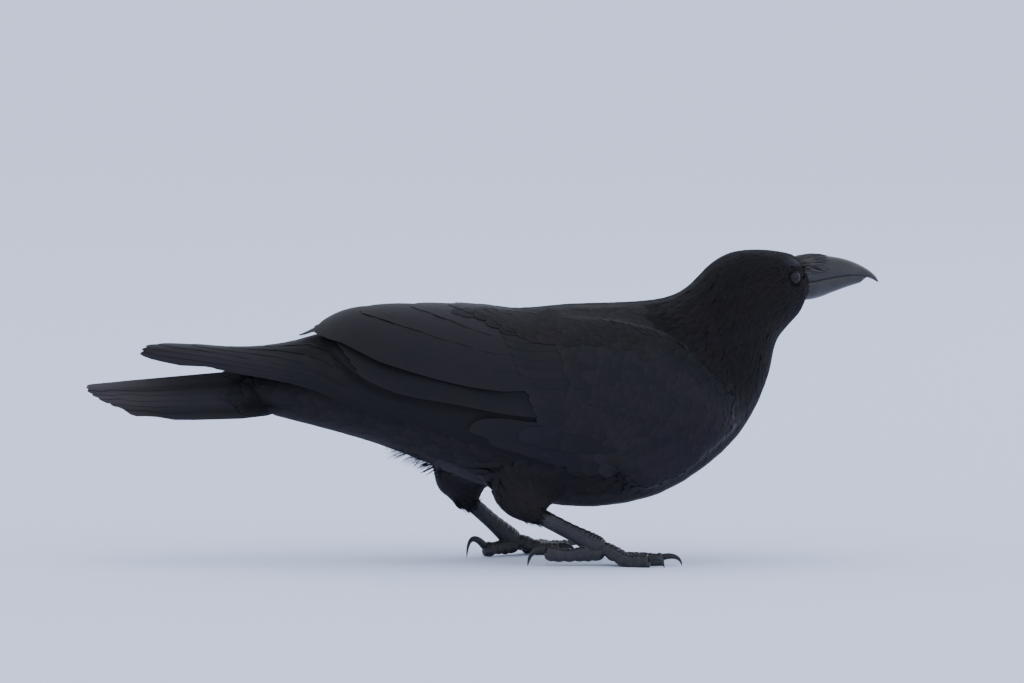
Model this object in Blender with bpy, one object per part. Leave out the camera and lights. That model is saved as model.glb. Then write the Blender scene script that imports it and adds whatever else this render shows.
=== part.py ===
"""A carrion crow, life size, leaning forward on both feet with its head turned to the left.

The crow faces +X, +Z is up and +Y is its left side. Lengths below are millimetres unless a name says
otherwise. Every solid hangs from one empty, which puts the model's lowest middle point at the origin.
"""

import math

import bmesh
import bpy
from mathutils import Matrix, Vector
from mathutils.bvhtree import BVHTree

MM = 0.001
CLEARANCE = 0.32  # the gap left between solids that meet
HEAD_TURN = math.radians(33)  # the head looks this far to the left
NECK_PIVOT = Vector((140, 0, 0))  # the head turns about the upright line through here

AROUND = 22  # points round a body ring
RINGS_PER_SPAN = 2
SQUARENESS = 0.86  # below 1, a body ring is fuller than an ellipse

# The feathered body, tail to bill: back line (x, z), belly line (x, z), half width,
# how much wider it is low down than high up, and the share of the head's turn.
BODY = {
    "tail root": ((-130, 103), (-114, 80.6), 11, 0.0, 0),
    "tail coverts": ((-100, 110), (-92, 75), 19, 0.0, 0),
    "rump": ((-68, 119), (-60, 66), 29, 0.0, 0),
    "vent": ((-38, 128), (-30, 54.8), 38, 0.05, 0),
    "thighs": ((-8, 134), (0, 42.5), 44, 0.08, 0),
    "belly": ((22, 139.2), (30, 33.2), 47.5, 0.10, 0),
    "keel": ((50, 141.9), (62, 30), 49, 0.10, 0),
    "breast": ((74, 142.6), (96.5, 36.3), 48.5, 0.08, 0),
    "shoulders": ((94, 143.8), (123.2, 51.8), 45, 0.06, 0),
    "crop": ((107, 146.8), (142, 69.6), 40, 0.04, 0),
    "neck base": ((115.6, 152.6), (153, 88), 32.5, 0.02, 0.05),
    "neck": ((122.6, 160), (158.6, 104), 26.5, 0.0, 0.3),
    "neck top": ((130.2, 166.2), (161, 117.6), 22.8, 0.0, 0.65),
    "nape": ((140.5, 170.4), (165.6, 123.5), 21.3, -0.03, 0.92),
    "crown": ((153, 171.2), (172.8, 130), 20.9, -0.04, 1),
    "brow": ((166, 170.2), (179.2, 135.6), 18.6, 0.0, 1),
    "lores": ((177.5, 167.9), (184.8, 140), 14.0, 0.06, 1),
    "bill root": ((184, 165.2), (189.5, 143.6), 9.6, 0.05, 1),
}
CUTS = {  # where the body is parted: through the middle of the span after this ring
    "neck top": "head",
    "crop": "neck",
    "rump": "trunk",
}

# The wing hull: both folded wings lie on it. At each x: highest z, lowest z, half width.
WING_HULL = {
    143: (98, 68, 27),
    138: (109, 58, 34),
    128: (122, 49.5, 43),
    112: (133.5, 41.5, 49),
    90: (141, 36, 52.5),
    60: (141.6, 32.5, 54),
    30: (138.8, 34, 54),
    0: (141.4, 41, 52),
    -30: (142.2, 50, 47.5),
    -55: (141.5, 58, 42.5),
    -74: (138.6, 66, 37.5),
    -89: (131.8, 76, 34),
}
PRIMARY_HULL = {
    76: (139.6, 37.5, 51.5),
    60: (140, 35, 52.5),
    30: (138.5, 36.5, 52.5),
    0: (139.4, 43.5, 50.5),
    -30: (139, 52.5, 46),
    -60: (135, 62, 39),
    -85: (127.4, 71, 32.5),
    -105: (121, 79, 27),
    -130: (117.8, 88, 22),
    -160: (119.4, 97, 18),
    -188: (119.8, 105, 13.5),
}
HULL_SQUARENESS = 0.8
# Edges of the two layers of a folded wing: the angle from the top of the hull, by x, in degrees.
WING_TOP = {143: 66, 128: 56, 112: 45, 90: 33, 60: 24, 30: 15, 5: 6, -30: 2.4, -89: 2.4}
WING_LOW = {143: 112, 138: 121, 128: 134, 112: 147, 98: 152, 86: 148, 76: 131, 60: 119, 30: 102, 0: 93,
            -30: 88, -55: 82, -74: 66, -84: 44, -89: 22}
PRIMARY_TOP = {76: 129.5, 60: 117.5, 30: 100.5, 0: 91.5, -30: 86.5, -55: 80, -72: 62,
               -80: 38, -86: 20, -92: 13, -105: 12, -130: 10, -160: 10, -188: 14}
PRIMARY_LOW = {76: 143, 60: 137, 30: 131, 0: 124, -30: 112, -60: 102, -85: 95, -105: 92, -130: 89,
               -160: 83, -176: 74, -188: 50}
WING_THICK = 3.6
PRIMARY_THICK = 2.0
WING_LIFT = {143: 1.6, 128: 2.6, 0: 2.6, -89: 2.6}  # how far a wing stands off the body at least
PRIMARY_LIFT = {76: 1.3, -188: 1.3}
WING_START, PRIMARY_START = 142, 74.6
WING_SPLIT = (Vector((12, 0, 60)), Vector((1, 0, -0.45)))  # coverts ahead, secondaries behind

# The tail: a folded fan of twelve feathers, roofed, with the middle pair longest.
TAIL_ROOT = Vector((-88, 0, 109.2))
TAIL_LENGTH = 129.5
TAIL_DROOP = math.radians(5.2)
TAIL_ROLL = math.radians(3)
TAIL_SHAPE = {0: (9, 16), 30: (14, 24), 60: (19, 23), 90: (23, 18), 112: (25, 13), 130: (26, 11.5)}  # half, fall
TAIL_ROUNDING = 22  # how much shorter the outermost feathers are
TAIL_THICK = 2.2

# The bill, seen from the side before the head turns: x, culmen z, mouth line z, gonys z, half width.
BILL = {
    176: (164.4, 152.4, 144.4, 9.6),
    186: (165.8, 153.2, 142.5, 9.8),
    194: (166.3, 154.1, 143.3, 8.8),
    203: (165.9, 155.0, 145.8, 7.5),
    212: (164.3, 155.5, 148.2, 6.0),
    220: (161.8, 155.2, 150.1, 4.5),
    226.8: (158.3, 153.9, 151.6, 3.1),
    231.2: (154.8, 152.3, 151.9, 1.8),
    233.4: (151.9, 150.9, 151.0, 0.5),
}
LOWER_BILL_END = 228.5
BRISTLES = (181.0, 201.0, 1.3)  # from x, to x, and how thick the pad is over the bill's base

EYE = Vector((167.4, -12.8, 156.0))
EYE_RADIUS = 6.3
# Relief of the face, from the eye: ahead, times as far out, up, radius, and how far out it stands.
FACE = [(0, 1.4, 0, 10, -1.9), (-1, 1.25, 8, 9, 1.3), (-9, 1.5, -12, 13, 1.0), (10, 1, 0.5, 7, -1.0)]

# Legs. Each side has its own stance; y is positive to the left. A shin is a run of rings from inside
# the body to the end of its feathers: front (x, z), rear (x, z), y, half width. A toe has its bearing,
# its length and how far its end is lifted.
LEGS = {
    "right": {
        "shin": [((44, 60), (6, 64), -20, 15), ((37, 46), (4.5, 52), -23, 13.5), ((35.5, 40), (5.5, 43), -25.2, 11.5),
                 ((34.6, 37), (8.3, 34.8), -27, 9.4), ((33.6, 35.6), (15.5, 27.2), -28.4, 7.4),
                 ((32.6, 34.6), (26.9, 22.8), -29.8, 5.6)],
        "heel": (14, -27, 36.5),
        "foot": (64, -38, 11.2),
        "toes": {"middle": (3, 37, 0), "inner": (27, 27, 0), "outer": (-21, 31, 0), "hind": (183, 28.5, 4.4)},
    },
    "left": {
        "shin": [((8, 66), (-24, 66), 17, 15), ((2, 54), (-25.4, 54), 18, 13.5), ((-0.8, 44), (-25.2, 45), 20, 11.5),
                 ((-0.6, 39.2), (-22.6, 37.6), 22.5, 9.4), ((0.2, 36.4), (-15.6, 32.2), 25.6, 7.2),
                 ((1, 34.6), (-7.6, 28.6), 29.2, 5.4)],
        "heel": (-18, 18, 42.3),
        "foot": (17, 43, 9.2),
        "toes": {"middle": (31, 37, 0), "inner": (5, 27, 0), "outer": (55, 31, 0), "hind": (222, 20, 0.8)},
    },
}
# Half width and half depth of a shank at shares of its way from heel to foot.
SHANK = {0.1: (3.1, 4.9), 0.3: (2.9, 4.6), 0.5: (2.8, 4.4), 0.7: (2.9, 4.5), 0.86: (3.7, 5), 0.96: (4.7, 5.2),
         1.03: (4.6, 4.8), 1.085: (2.6, 2.6)}
TOE_SIZE = (2.9, 3.2)
TOE_AXIS_HEIGHT = 2.9  # just under the toe's half depth, so the sole is flattened
HIND_PADS = [1.2, 1.2, 1.05, 0.95, 0.97, 1.14, 0.75]  # the hind toe's girth along its way
TOE_SLOPE = 20  # the toes come down from the foot's joint to the floor over this length
# Claws: how far they reach past the toe, how high they arch, and the radius at their base.
CLAWS = {
    "middle": (9.4, 6.8, 1.7),
    "inner": (8.6, 6.2, 1.6),
    "outer": (8.2, 6.2, 1.6),
    "hind_right": (9.0, 10.5, 2.1),
    "hind_left": (12.5, 17, 2.1),
}

COLOURS = {  # base colour, roughness
    "plumage": ((0.012, 0.012, 0.015), 0.6),
    "flight": ((0.013, 0.014, 0.019), 0.45),
    "horn": ((0.035, 0.037, 0.042), 0.35),
    "scaled": ((0.022, 0.021, 0.022), 0.5),
    "eye": ((0.012, 0.009, 0.007), 0.08),
}


def clear_scene():
    for obj in list(bpy.data.objects):
        bpy.data.objects.remove(obj)


def new_collection(name):
    collection = bpy.data.collections.new(name)
    bpy.context.scene.collection.children.link(collection)
    return collection


def make_material(name):
    colour, roughness = COLOURS[name]
    material = bpy.data.materials.new(name)
    material.use_nodes = True
    shader = material.node_tree.nodes["Principled BSDF"]
    shader.inputs["Base Color"].default_value = (*colour, 1)
    shader.inputs["Roughness"].default_value = roughness
    shader.inputs["Metallic"].default_value = 0
    return material


def between(values, share):
    """Smooth curve through evenly spaced tuples, read at share, which counts in spans."""
    last = len(values) - 1
    i = min(int(share), last - 1)
    t = share - i
    rows = [values[max(0, min(last, i + k))] for k in (-1, 0, 1, 2)]
    found = []
    for a, b, c, d in zip(*rows):
        found.append(0.5 * (2 * b + (c - a) * t + (2 * a - 5 * b + 4 * c - d) * t**2 + (3 * b - a - 3 * c + d) * t**3))
    return found


def at(table, x):
    """A table's values at x, eased between its stations; numbers and tuples both work."""
    stations = sorted(table)
    rows = [table[s] if isinstance(table[s], tuple) else (table[s],) for s in stations]
    x = max(stations[0], min(stations[-1], x))
    i = max(k for k in range(len(stations) - 1) if stations[k] <= x)
    low, high = stations[i], stations[i + 1]
    t = (x - low) / (high - low)

    def slope(k, column):
        a, b = max(0, k - 1), min(len(stations) - 1, k + 1)
        return (rows[b][column] - rows[a][column]) / (stations[b] - stations[a])

    found = []
    for column in range(len(rows[0])):
        step = high - low
        start, end = slope(i, column) * step, slope(i + 1, column) * step
        p, q = rows[i][column], rows[i + 1][column]
        found.append(
            (2 * t**3 - 3 * t**2 + 1) * p + (t**3 - 2 * t**2 + t) * start + (3 * t**2 - 2 * t**3) * q + (t**3 - t**2) * end
        )
    return found[0] if len(found) == 1 else found


def rounded(value, power):
    return math.copysign(abs(value) ** power, value)


def turned(point, share):
    """The point after that share of the head's turn."""
    return Matrix.Rotation(HEAD_TURN * share, 3, "Z") @ (point - NECK_PIVOT) + NECK_PIVOT


def head_frame():
    """The matrix that turns pieces made in the straight-ahead pose, in metres."""
    pivot = Matrix.Translation(NECK_PIVOT * MM)
    return pivot @ Matrix.Rotation(HEAD_TURN, 4, "Z") @ pivot.inverted()


class Workshop:
    """Makes named objects in metres from points in millimetres, all hung from one empty."""

    def __init__(self):
        self.parts = new_collection("crow")
        self.cutters = new_collection("cutters")
        self.materials = {name: make_material(name) for name in COLOURS}
        self.origin = bpy.data.objects.new("crow_origin", None)
        self.parts.objects.link(self.origin)

    def add(self, name, bm, material=None, cutter=False):
        bmesh.ops.recalc_face_normals(bm, faces=bm.faces)
        mesh = bpy.data.meshes.new(name)
        bm.to_mesh(mesh)
        bm.free()
        mesh.transform(Matrix.Scale(MM, 4))
        mesh.shade_smooth()
        obj = bpy.data.objects.new(name, mesh)
        (self.cutters if cutter else self.parts).objects.link(obj)
        obj.parent = self.origin
        if material:
            mesh.materials.append(self.materials[material])
        if cutter:
            obj.hide_render = True
            obj.display_type = "WIRE"
        return obj

    def clearance(self, source, name, by=CLEARANCE):
        """A cutter: the source's final shape, swollen by the gap."""
        graph = bpy.context.evaluated_depsgraph_get()
        bm = bmesh.new()
        bm.from_mesh(bpy.data.meshes.new_from_object(source.evaluated_get(graph)))
        bmesh.ops.remove_doubles(bm, verts=bm.verts, dist=1e-6)
        bm.normal_update()
        for vert in bm.verts:
            vert.co += vert.normal * by * MM
        bm.transform(Matrix.Scale(1 / MM, 4))
        cutter = self.add(name, bm, cutter=True)
        cutter.matrix_basis = source.matrix_basis
        return cutter


def subtract(obj, cutter):
    modifier = obj.modifiers.new("minus_" + cutter.name, "BOOLEAN")
    modifier.operation = "DIFFERENCE"
    modifier.object = cutter


def loft(rings):
    """A closed surface through rings of equally many points."""
    bm = bmesh.new()
    rows = [[bm.verts.new(p) for p in ring] for ring in rings]
    count = len(rows[0])
    for lower, upper in zip(rows, rows[1:]):
        for k in range(count):
            bm.faces.new((lower[k], lower[(k + 1) % count], upper[(k + 1) % count], upper[k]))
    bm.faces.new(rows[0])
    bm.faces.new(rows[-1])
    return bm


def keep_side(bm, point, normal):
    """Cuts away what lies on the normal's side of a plane, and closes the cut."""
    everything = bm.verts[:] + bm.edges[:] + bm.faces[:]
    bmesh.ops.bisect_plane(bm, geom=everything, plane_co=point, plane_no=normal, clear_outer=True, dist=1e-5)
    rim = [edge for edge in bm.edges if edge.is_boundary]
    if rim:
        bmesh.ops.contextual_create(bm, geom=rim)


def swell(bm, centre, radius, amount):
    """Pushes the surface out, or in where amount is negative, with a soft edge."""
    bm.normal_update()
    for vert in bm.verts:
        away = (vert.co - centre).length / radius
        if away < 1:
            vert.co += vert.normal * amount * (1 - away * away) ** 2


def upright_ring(back, belly, half, low=0.0, around=AROUND):
    """A ring whose plane holds the across direction; wider below its middle where low is above 0."""
    middle, arm = (back + belly) / 2, (back - belly) / 2
    ring = []
    for k in range(around):
        angle = 2 * math.pi * k / around
        wide = half * rounded(math.sin(angle), SQUARENESS) * (1 - low * math.cos(angle))
        ring.append(middle + arm * math.cos(angle) + Vector((0, -wide, 0)))
    return ring


def body_ring(values):
    back_x, back_z, belly_x, belly_z, half, low, turn = values
    ring = upright_ring(Vector((back_x, 0, back_z)), Vector((belly_x, 0, belly_z)), half, low)
    return [turned(point, turn) for point in ring]


def body_surface():
    rows = [(*back, *belly, half, low, turn) for back, belly, half, low, turn in BODY.values()]
    count = (len(rows) - 1) * RINGS_PER_SPAN
    bm = loft([body_ring(between(rows, k / RINGS_PER_SPAN)) for k in range(count + 1)])
    for side in (-1, 1):
        eye = EYE.copy()
        eye.y *= -side
        for ahead, outward, up, radius, amount in FACE:
            spot = Vector((eye.x + ahead, eye.y * outward, eye.z + up))
            swell(bm, turned(spot, 1), radius, amount)
    return bm


def cut_plane(after):
    """Point and forward normal of the cut through the middle of the span after a ring."""
    names = list(BODY)
    i = names.index(after)
    rows = [(*BODY[n][0], *BODY[n][1], BODY[n][4]) for n in names]
    back_x, back_z, belly_x, belly_z, turn = between(rows, i + 0.5)
    back, belly = Vector((back_x, 0, back_z)), Vector((belly_x, 0, belly_z))
    normal = (back - belly).cross(Vector((0, -1, 0))).normalized()
    if normal.x < 0:
        normal = -normal
    return turned((back + belly) / 2, turn), Matrix.Rotation(HEAD_TURN * turn, 3, "Z") @ normal


def make_body(shop):
    """Head, neck, trunk and tail coverts: one lofted form parted by thin cuts."""
    whole = shop.add("body_whole", body_surface(), cutter=True)
    planes = [cut_plane(ring) for ring in CUTS]
    names = ["head", "neck", "trunk", "tail_coverts"]
    nodes = {}
    for i, name in enumerate(names):
        bm = body_surface()
        if i > 0:
            point, normal = planes[i - 1]
            keep_side(bm, point - normal * CLEARANCE / 2, normal)
        if i < len(planes):
            point, normal = planes[i]
            keep_side(bm, point + normal * CLEARANCE / 2, -normal)
        nodes[name] = shop.add(name, bm, "plumage")
    surface = body_surface()
    tree = BVHTree.FromBMesh(surface)
    surface.free()
    return nodes, shop.clearance(whole, "body_clearance"), tree


def hull_point(hull, x, degrees, side):
    top, bottom, half = at(hull, x)
    angle = math.radians(degrees)
    y = half * rounded(math.sin(angle), HULL_SQUARENESS)
    return Vector((x, side * y, (top + bottom) / 2 + (top - bottom) / 2 * math.cos(angle)))


def feather_layer(hull, edges, lift, start, cells, side, body):
    """An open sheet on the hull between its two edges, kept at least the lift clear of the body."""
    columns, rows = cells
    end = min(hull)
    bm = bmesh.new()
    grid = []
    for i in range(columns + 1):
        x = start + (end - start) * i / columns
        high, low = (at(edge, x) for edge in edges)
        top, bottom, _ = at(hull, x)
        axis = Vector((x, 0, (top + bottom) / 2))
        line = []
        for j in range(rows + 1):
            point = hull_point(hull, x, high + (low - high) * j / rows, side)
            outward = (point - axis).normalized()
            hit = body.ray_cast(axis, outward)[0]
            if hit:
                reach = max((point - axis).length, (hit - axis).length + at(lift, x))
                point = axis + outward * reach
            line.append(bm.verts.new(point))
        grid.append(line)
    for a, b in zip(grid, grid[1:]):
        for j in range(rows):
            corners = (a[j], b[j], b[j + 1], a[j + 1])
            bm.faces.new(corners if side < 0 else corners[::-1])
    return bm


def solid_layer(bm, thickness):
    """The sheet with a back face that thickness inside it, and walls between."""
    bm.normal_update()
    outward = sum((f.normal.y * f.calc_center_median().y for f in bm.faces), 0.0)
    if outward < 0:
        bmesh.ops.reverse_faces(bm, faces=bm.faces)
        bm.normal_update()
    bmesh.ops.solidify(bm, geom=bm.faces[:], thickness=thickness)
    return bm


def make_wing(shop, side_name, side, body_clearance, body_tree):
    edges = (WING_TOP, WING_LOW)
    upper = solid_layer(feather_layer(WING_HULL, edges, WING_LIFT, WING_START, (20, 7), side, body_tree), WING_THICK)
    whole = shop.add("wing_whole_" + side_name, upper.copy(), cutter=True)
    subtract(whole, body_clearance)
    wing_clearance = shop.clearance(whole, "wing_clearance_" + side_name)
    point, normal = WING_SPLIT
    normal = normal.normalized()
    for name, way in (("coverts", 1), ("secondaries", -1)):
        bm = upper.copy()
        keep_side(bm, point + normal * way * CLEARANCE / 2, -normal * way)
        node = shop.add(f"wing_{side_name}_{name}", bm, "flight")
        subtract(node, body_clearance)
    upper.free()
    edges = (PRIMARY_TOP, PRIMARY_LOW)
    sheet = feather_layer(PRIMARY_HULL, edges, PRIMARY_LIFT, PRIMARY_START, (18, 4), side, body_tree)
    node = shop.add(f"wing_{side_name}_primaries", solid_layer(sheet, PRIMARY_THICK), "flight")
    subtract(node, body_clearance)
    subtract(node, wing_clearance)


def make_tail(shop, tail_coverts):
    """The closed tail as one roofed plate with a rounded end."""
    bm = bmesh.new()
    columns, rows = 9, 8
    frame = Matrix.Translation(TAIL_ROOT) @ Matrix.Rotation(-TAIL_DROOP, 4, "Y") @ Matrix.Rotation(TAIL_ROLL, 4, "X")
    grid = []
    for i in range(columns + 1):
        line = []
        for j in range(rows + 1):
            across = 2 * j / rows - 1
            length = TAIL_LENGTH - TAIL_ROUNDING * abs(across) ** 1.8
            along = length * i / columns
            half, fall = at(TAIL_SHAPE, along)
            line.append(bm.verts.new(frame @ Vector((-along, half * across, -fall * abs(across) ** 1.3))))
        grid.append(line)
    for a, b in zip(grid, grid[1:]):
        for j in range(rows):
            bm.faces.new((a[j], b[j], b[j + 1], a[j + 1]))
    bm.normal_update()
    if sum(f.normal.z for f in bm.faces) < 0:
        bmesh.ops.reverse_faces(bm, faces=bm.faces)
        bm.normal_update()
    bmesh.ops.solidify(bm, geom=bm.faces[:], thickness=TAIL_THICK)
    tail = shop.add("tail", bm, "flight")
    subtract(tail, tail_coverts)
    return tail


def bill_ring(top, bottom, half, x, flat_top):
    """One section of a jaw: round on its outer side and flat along the mouth."""
    ring = []
    count = 7
    for k in range(count + 1):
        angle = math.pi * k / count
        across = -half * math.cos(angle)
        rise = math.sin(angle) ** 0.8
        level = bottom + (top - bottom) * rise if not flat_top else top - (top - bottom) * rise
        ring.append(Vector((x, across, level)))
    return ring


def make_bill(shop, head_clearance):
    start, end = min(BILL), max(BILL)
    frame = head_frame()
    nodes = {}
    for name, last in (("bill_upper", end), ("bill_lower", LOWER_BILL_END)):
        rings = []
        steps = 13
        for k in range(steps + 1):
            x = start + (last - start) * (1 - (1 - k / steps) ** 1.25)
            culmen, mouth, gonys, half = at(BILL, x)
            if name == "bill_upper":
                rings.append(bill_ring(culmen, mouth + CLEARANCE / 2, half, x, False))
            else:
                narrow = half * 0.9 - 0.25
                end_taper = min(1, (last - x) / 9 + 0.12)
                level = mouth - CLEARANCE / 2
                rings.append(bill_ring(level, level - (level - gonys) * end_taper**0.4, narrow, x, True))
        node = shop.add(name, loft(rings), "horn")
        node.matrix_basis = frame
        subtract(node, head_clearance)
        nodes[name] = node
    return nodes


def make_bristles(shop, head_clearance, upper_bill):
    """The pad of bristles that lies forward over the base of the bill and its nostrils."""
    start, end, thick = BRISTLES
    rings = []
    for k in range(7):
        t = k / 6
        x = start + (end - start) * t
        culmen, mouth, _, half = at(BILL, x)
        rise = thick * (1 - t**3) + 0.15
        floor = mouth + 2.0 + (culmen - mouth - 4) * t**2
        rings.append(bill_ring(culmen + rise, floor, half + rise, x, False))
    pad = shop.add("bristles", loft(rings), "plumage")
    pad.matrix_basis = head_frame()
    subtract(pad, head_clearance)
    subtract(pad, shop.clearance(upper_bill, "bill_clearance"))
    return pad


def make_eyes(shop, head):
    nodes = {}
    for side_name, side in (("right", 1), ("left", -1)):
        centre = turned(Vector((EYE.x, EYE.y * side, EYE.z)), 1)
        for name, radius in (("eye_" + side_name, EYE_RADIUS), ("socket_" + side_name, EYE_RADIUS + CLEARANCE)):
            bm = bmesh.new()
            bmesh.ops.create_uvsphere(bm, u_segments=12, v_segments=8, radius=radius)
            ball = shop.add(name, bm, "eye", cutter=name.startswith("socket"))
            ball.location = centre * MM
            nodes[name] = ball
        subtract(head, nodes["socket_" + side_name])
    return nodes


def tube(path, sizes, around, steps):
    """A closed round bar along a smooth path; sizes are half width and half depth along it."""
    stations = [(*p, *s) for p, s in zip(path, sizes)]
    count = (len(stations) - 1) * steps
    rows = [between(stations, k / steps) for k in range(count + 1)]
    points = [Vector(row[:3]) for row in rows]
    rings = []
    for k, row in enumerate(rows):
        ahead = (points[min(k + 1, count)] - points[max(k - 1, 0)]).normalized()
        across = ahead.cross(Vector((0, 0, 1))).normalized()
        depth = across.cross(ahead).normalized()
        ring = []
        for j in range(around):
            angle = 2 * math.pi * j / around
            ring.append(points[k] + across * row[3] * math.cos(angle) + depth * row[4] * math.sin(angle))
        rings.append(ring)
    return loft(rings)


def make_claw(shop, name, start, heading, reach, arch, radius):
    """A claw: a tapering bar that arches over and comes down to the floor at its tip."""
    tip = start + heading * reach
    tip.z = -0.45
    crest = start + heading * reach * 0.97
    crest.z = arch
    steps = 5
    points, sizes = [], []
    for k in range(steps + 1):
        share = k / steps
        points.append(start * (1 - share) ** 2 + crest * 2 * share * (1 - share) + tip * share**2)
        taper = radius * (1 - share) ** 0.75 + 0.32
        sizes.append((taper * 0.75, taper))
    bm = tube(points, sizes, 6, 1)
    keep_side(bm, Vector((0, 0, 0)), Vector((0, 0, -1)))
    return shop.add(name, bm, "horn")


def toe_bar(centre, heading, length, lift, hind):
    """One toe from the middle of the foot to its end, and the point where it ends."""
    pieces = 6 if hind else 8
    points, sizes = [], []
    for k in range(pieces + 1):
        share = k / pieces
        reach = 2 + (length - 2) * share
        down = min(1, reach / TOE_SLOPE)
        root = centre.z - (4 if hind else 0.5) - TOE_AXIS_HEIGHT
        drop = root * (1 - down * down * (3 - 2 * down))
        knuckle = 1.06 if k % 2 == 0 else 0.93
        if hind:
            knuckle = HIND_PADS[k]
        elif k == pieces:
            knuckle = 0.7
        points.append(Vector((centre.x + heading.x * reach, centre.y + heading.y * reach,
                              TOE_AXIS_HEIGHT + drop + lift * share + (0.5 if k == pieces else 0))))
        slim = 1 - 0.16 * share
        sizes.append((TOE_SIZE[0] * knuckle * slim, TOE_SIZE[1] * knuckle * (1 - 0.06 * share)))
    bm = tube(points, sizes, 8, 1)
    keep_side(bm, Vector((0, 0, 0)), Vector((0, 0, -1)))
    return bm, points[-1]


def make_foot(shop, side_name, leg, shank):
    """Four toes that spread from the foot of the shank, each with its claw."""
    shank_clearance = shop.clearance(shank, "shank_clearance_" + side_name)
    centre = Vector(leg["foot"])
    bearings = {toe: math.radians(values[0]) for toe, values in leg["toes"].items()}
    for toe, (_, length, lift) in leg["toes"].items():
        angle = bearings[toe]
        heading = Vector((math.cos(angle), math.sin(angle), 0))
        bm, end = toe_bar(centre, heading, length, lift, toe == "hind")
        for other, other_angle in bearings.items():
            if other != toe:
                half = (angle + other_angle) / 2
                normal = Vector((-math.sin(half), math.cos(half), 0)) * (1 if other_angle > angle else -1)
                keep_side(bm, centre - normal * CLEARANCE / 2, normal)
        node = shop.add(f"toe_{toe}_{side_name}", bm, "scaled")
        subtract(node, shank_clearance)
        key = "hind_" + side_name if toe == "hind" else toe
        start = end + heading * (CLEARANCE + 0.05) + Vector((0, 0, 1.3))
        make_claw(shop, f"claw_{toe}_{side_name}", start, heading, *CLAWS[key])


def make_leg(shop, side_name, leg, body_clearance):
    """Feathered shin, bare shank and foot of one side."""
    heel, foot = Vector(leg["heel"]), Vector(leg["foot"])
    path = [heel.lerp(foot, share) for share in SHANK]
    shank = shop.add("shank_" + side_name, tube(path, list(SHANK.values()), 10, 1), "scaled")
    rows = [(*front, *rear, y, half) for front, rear, y, half in leg["shin"]]
    rings = []
    for k in range(2 * (len(rows) - 1) + 1):
        front_x, front_z, rear_x, rear_z, y, half = between(rows, k / 2)
        rings.append(upright_ring(Vector((front_x, y, front_z)), Vector((rear_x, y, rear_z)), half, around=12))
    shin = shop.add("shin_" + side_name, loft(rings), "plumage")
    subtract(shin, body_clearance)
    subtract(shank, shop.clearance(shin, "shin_clearance_" + side_name))
    make_foot(shop, side_name, leg, shank)


def set_on_floor(shop):
    """Moves the empty so that the middle of the crow's base is the origin."""
    graph = bpy.context.evaluated_depsgraph_get()
    corners = []
    for obj in shop.parts.objects:
        if obj.type == "MESH":
            shape = obj.evaluated_get(graph)
            corners += [shape.matrix_world @ vert.co for vert in shape.data.vertices]
    low = Vector(map(min, *corners))
    high = Vector(map(max, *corners))
    shop.origin.location = Vector((-(low.x + high.x) / 2, -(low.y + high.y) / 2, -low.z))


def main():
    clear_scene()
    shop = Workshop()
    body, body_clearance, body_tree = make_body(shop)
    make_eyes(shop, body["head"])
    bill = make_bill(shop, body_clearance)
    make_bristles(shop, body_clearance, bill["bill_upper"])
    tail_clearance = shop.clearance(body["tail_coverts"], "tail_coverts_clearance")
    make_tail(shop, tail_clearance)
    for side_name, side in (("right", -1), ("left", 1)):
        make_wing(shop, side_name, side, body_clearance, body_tree)
    for side_name, leg in LEGS.items():
        make_leg(shop, side_name, leg, body_clearance)
    bpy.context.view_layer.update()
    set_on_floor(shop)


main()
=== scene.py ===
"""A crow, life size: skin, plumage, eyes, bill and feet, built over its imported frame.

Shapes are worked out in millimetres in the crow's own measures, where y = 0 is the body's mid-plane and
z = 0 the floor, and are put in the frame, in metres, when a piece is made.
"""

import math
import random
from functools import cache
from itertools import product

import bmesh
import bpy
import numpy as np
from bpy.props import FloatProperty, FloatVectorProperty, IntProperty, PointerProperty
from mathutils import Matrix, Vector
from mathutils.bvhtree import BVHTree


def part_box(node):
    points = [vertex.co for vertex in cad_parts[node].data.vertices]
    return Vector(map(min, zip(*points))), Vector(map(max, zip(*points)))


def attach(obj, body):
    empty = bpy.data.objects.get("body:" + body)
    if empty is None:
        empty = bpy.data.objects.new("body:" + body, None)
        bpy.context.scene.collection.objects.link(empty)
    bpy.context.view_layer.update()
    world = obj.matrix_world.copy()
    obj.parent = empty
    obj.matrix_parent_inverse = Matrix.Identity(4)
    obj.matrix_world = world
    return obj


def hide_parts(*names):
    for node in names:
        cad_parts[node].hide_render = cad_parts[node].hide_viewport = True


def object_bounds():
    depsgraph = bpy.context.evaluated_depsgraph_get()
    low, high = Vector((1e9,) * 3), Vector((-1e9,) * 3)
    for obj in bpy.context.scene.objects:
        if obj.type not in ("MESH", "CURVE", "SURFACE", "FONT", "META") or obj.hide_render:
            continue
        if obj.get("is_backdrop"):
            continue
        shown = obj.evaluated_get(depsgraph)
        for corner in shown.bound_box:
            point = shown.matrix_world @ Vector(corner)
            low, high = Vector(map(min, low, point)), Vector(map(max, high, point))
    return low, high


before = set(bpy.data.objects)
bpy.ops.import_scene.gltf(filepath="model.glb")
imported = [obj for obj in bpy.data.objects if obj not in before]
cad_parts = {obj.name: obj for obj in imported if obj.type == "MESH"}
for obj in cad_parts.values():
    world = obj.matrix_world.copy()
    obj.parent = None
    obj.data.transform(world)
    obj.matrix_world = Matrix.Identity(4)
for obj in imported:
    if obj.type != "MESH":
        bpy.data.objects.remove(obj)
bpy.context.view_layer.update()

bl_info = {
    "name": "Crow",
    "version": (1, 0, 0),
    "blender": (4, 5, 0),
    "location": "3D View > Sidebar > Crow",
    "description": "Skin, feathers, bill, eyes and feet for a standing crow",
    "category": "Object",
}

MM = 0.001
HEAD_TURN = math.radians(33)
NECK_PIVOT = Vector((140, 0, 0))
EYE = Vector((167.4, -12.8, 156.0))
EYE_RADIUS = 6.3

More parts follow.
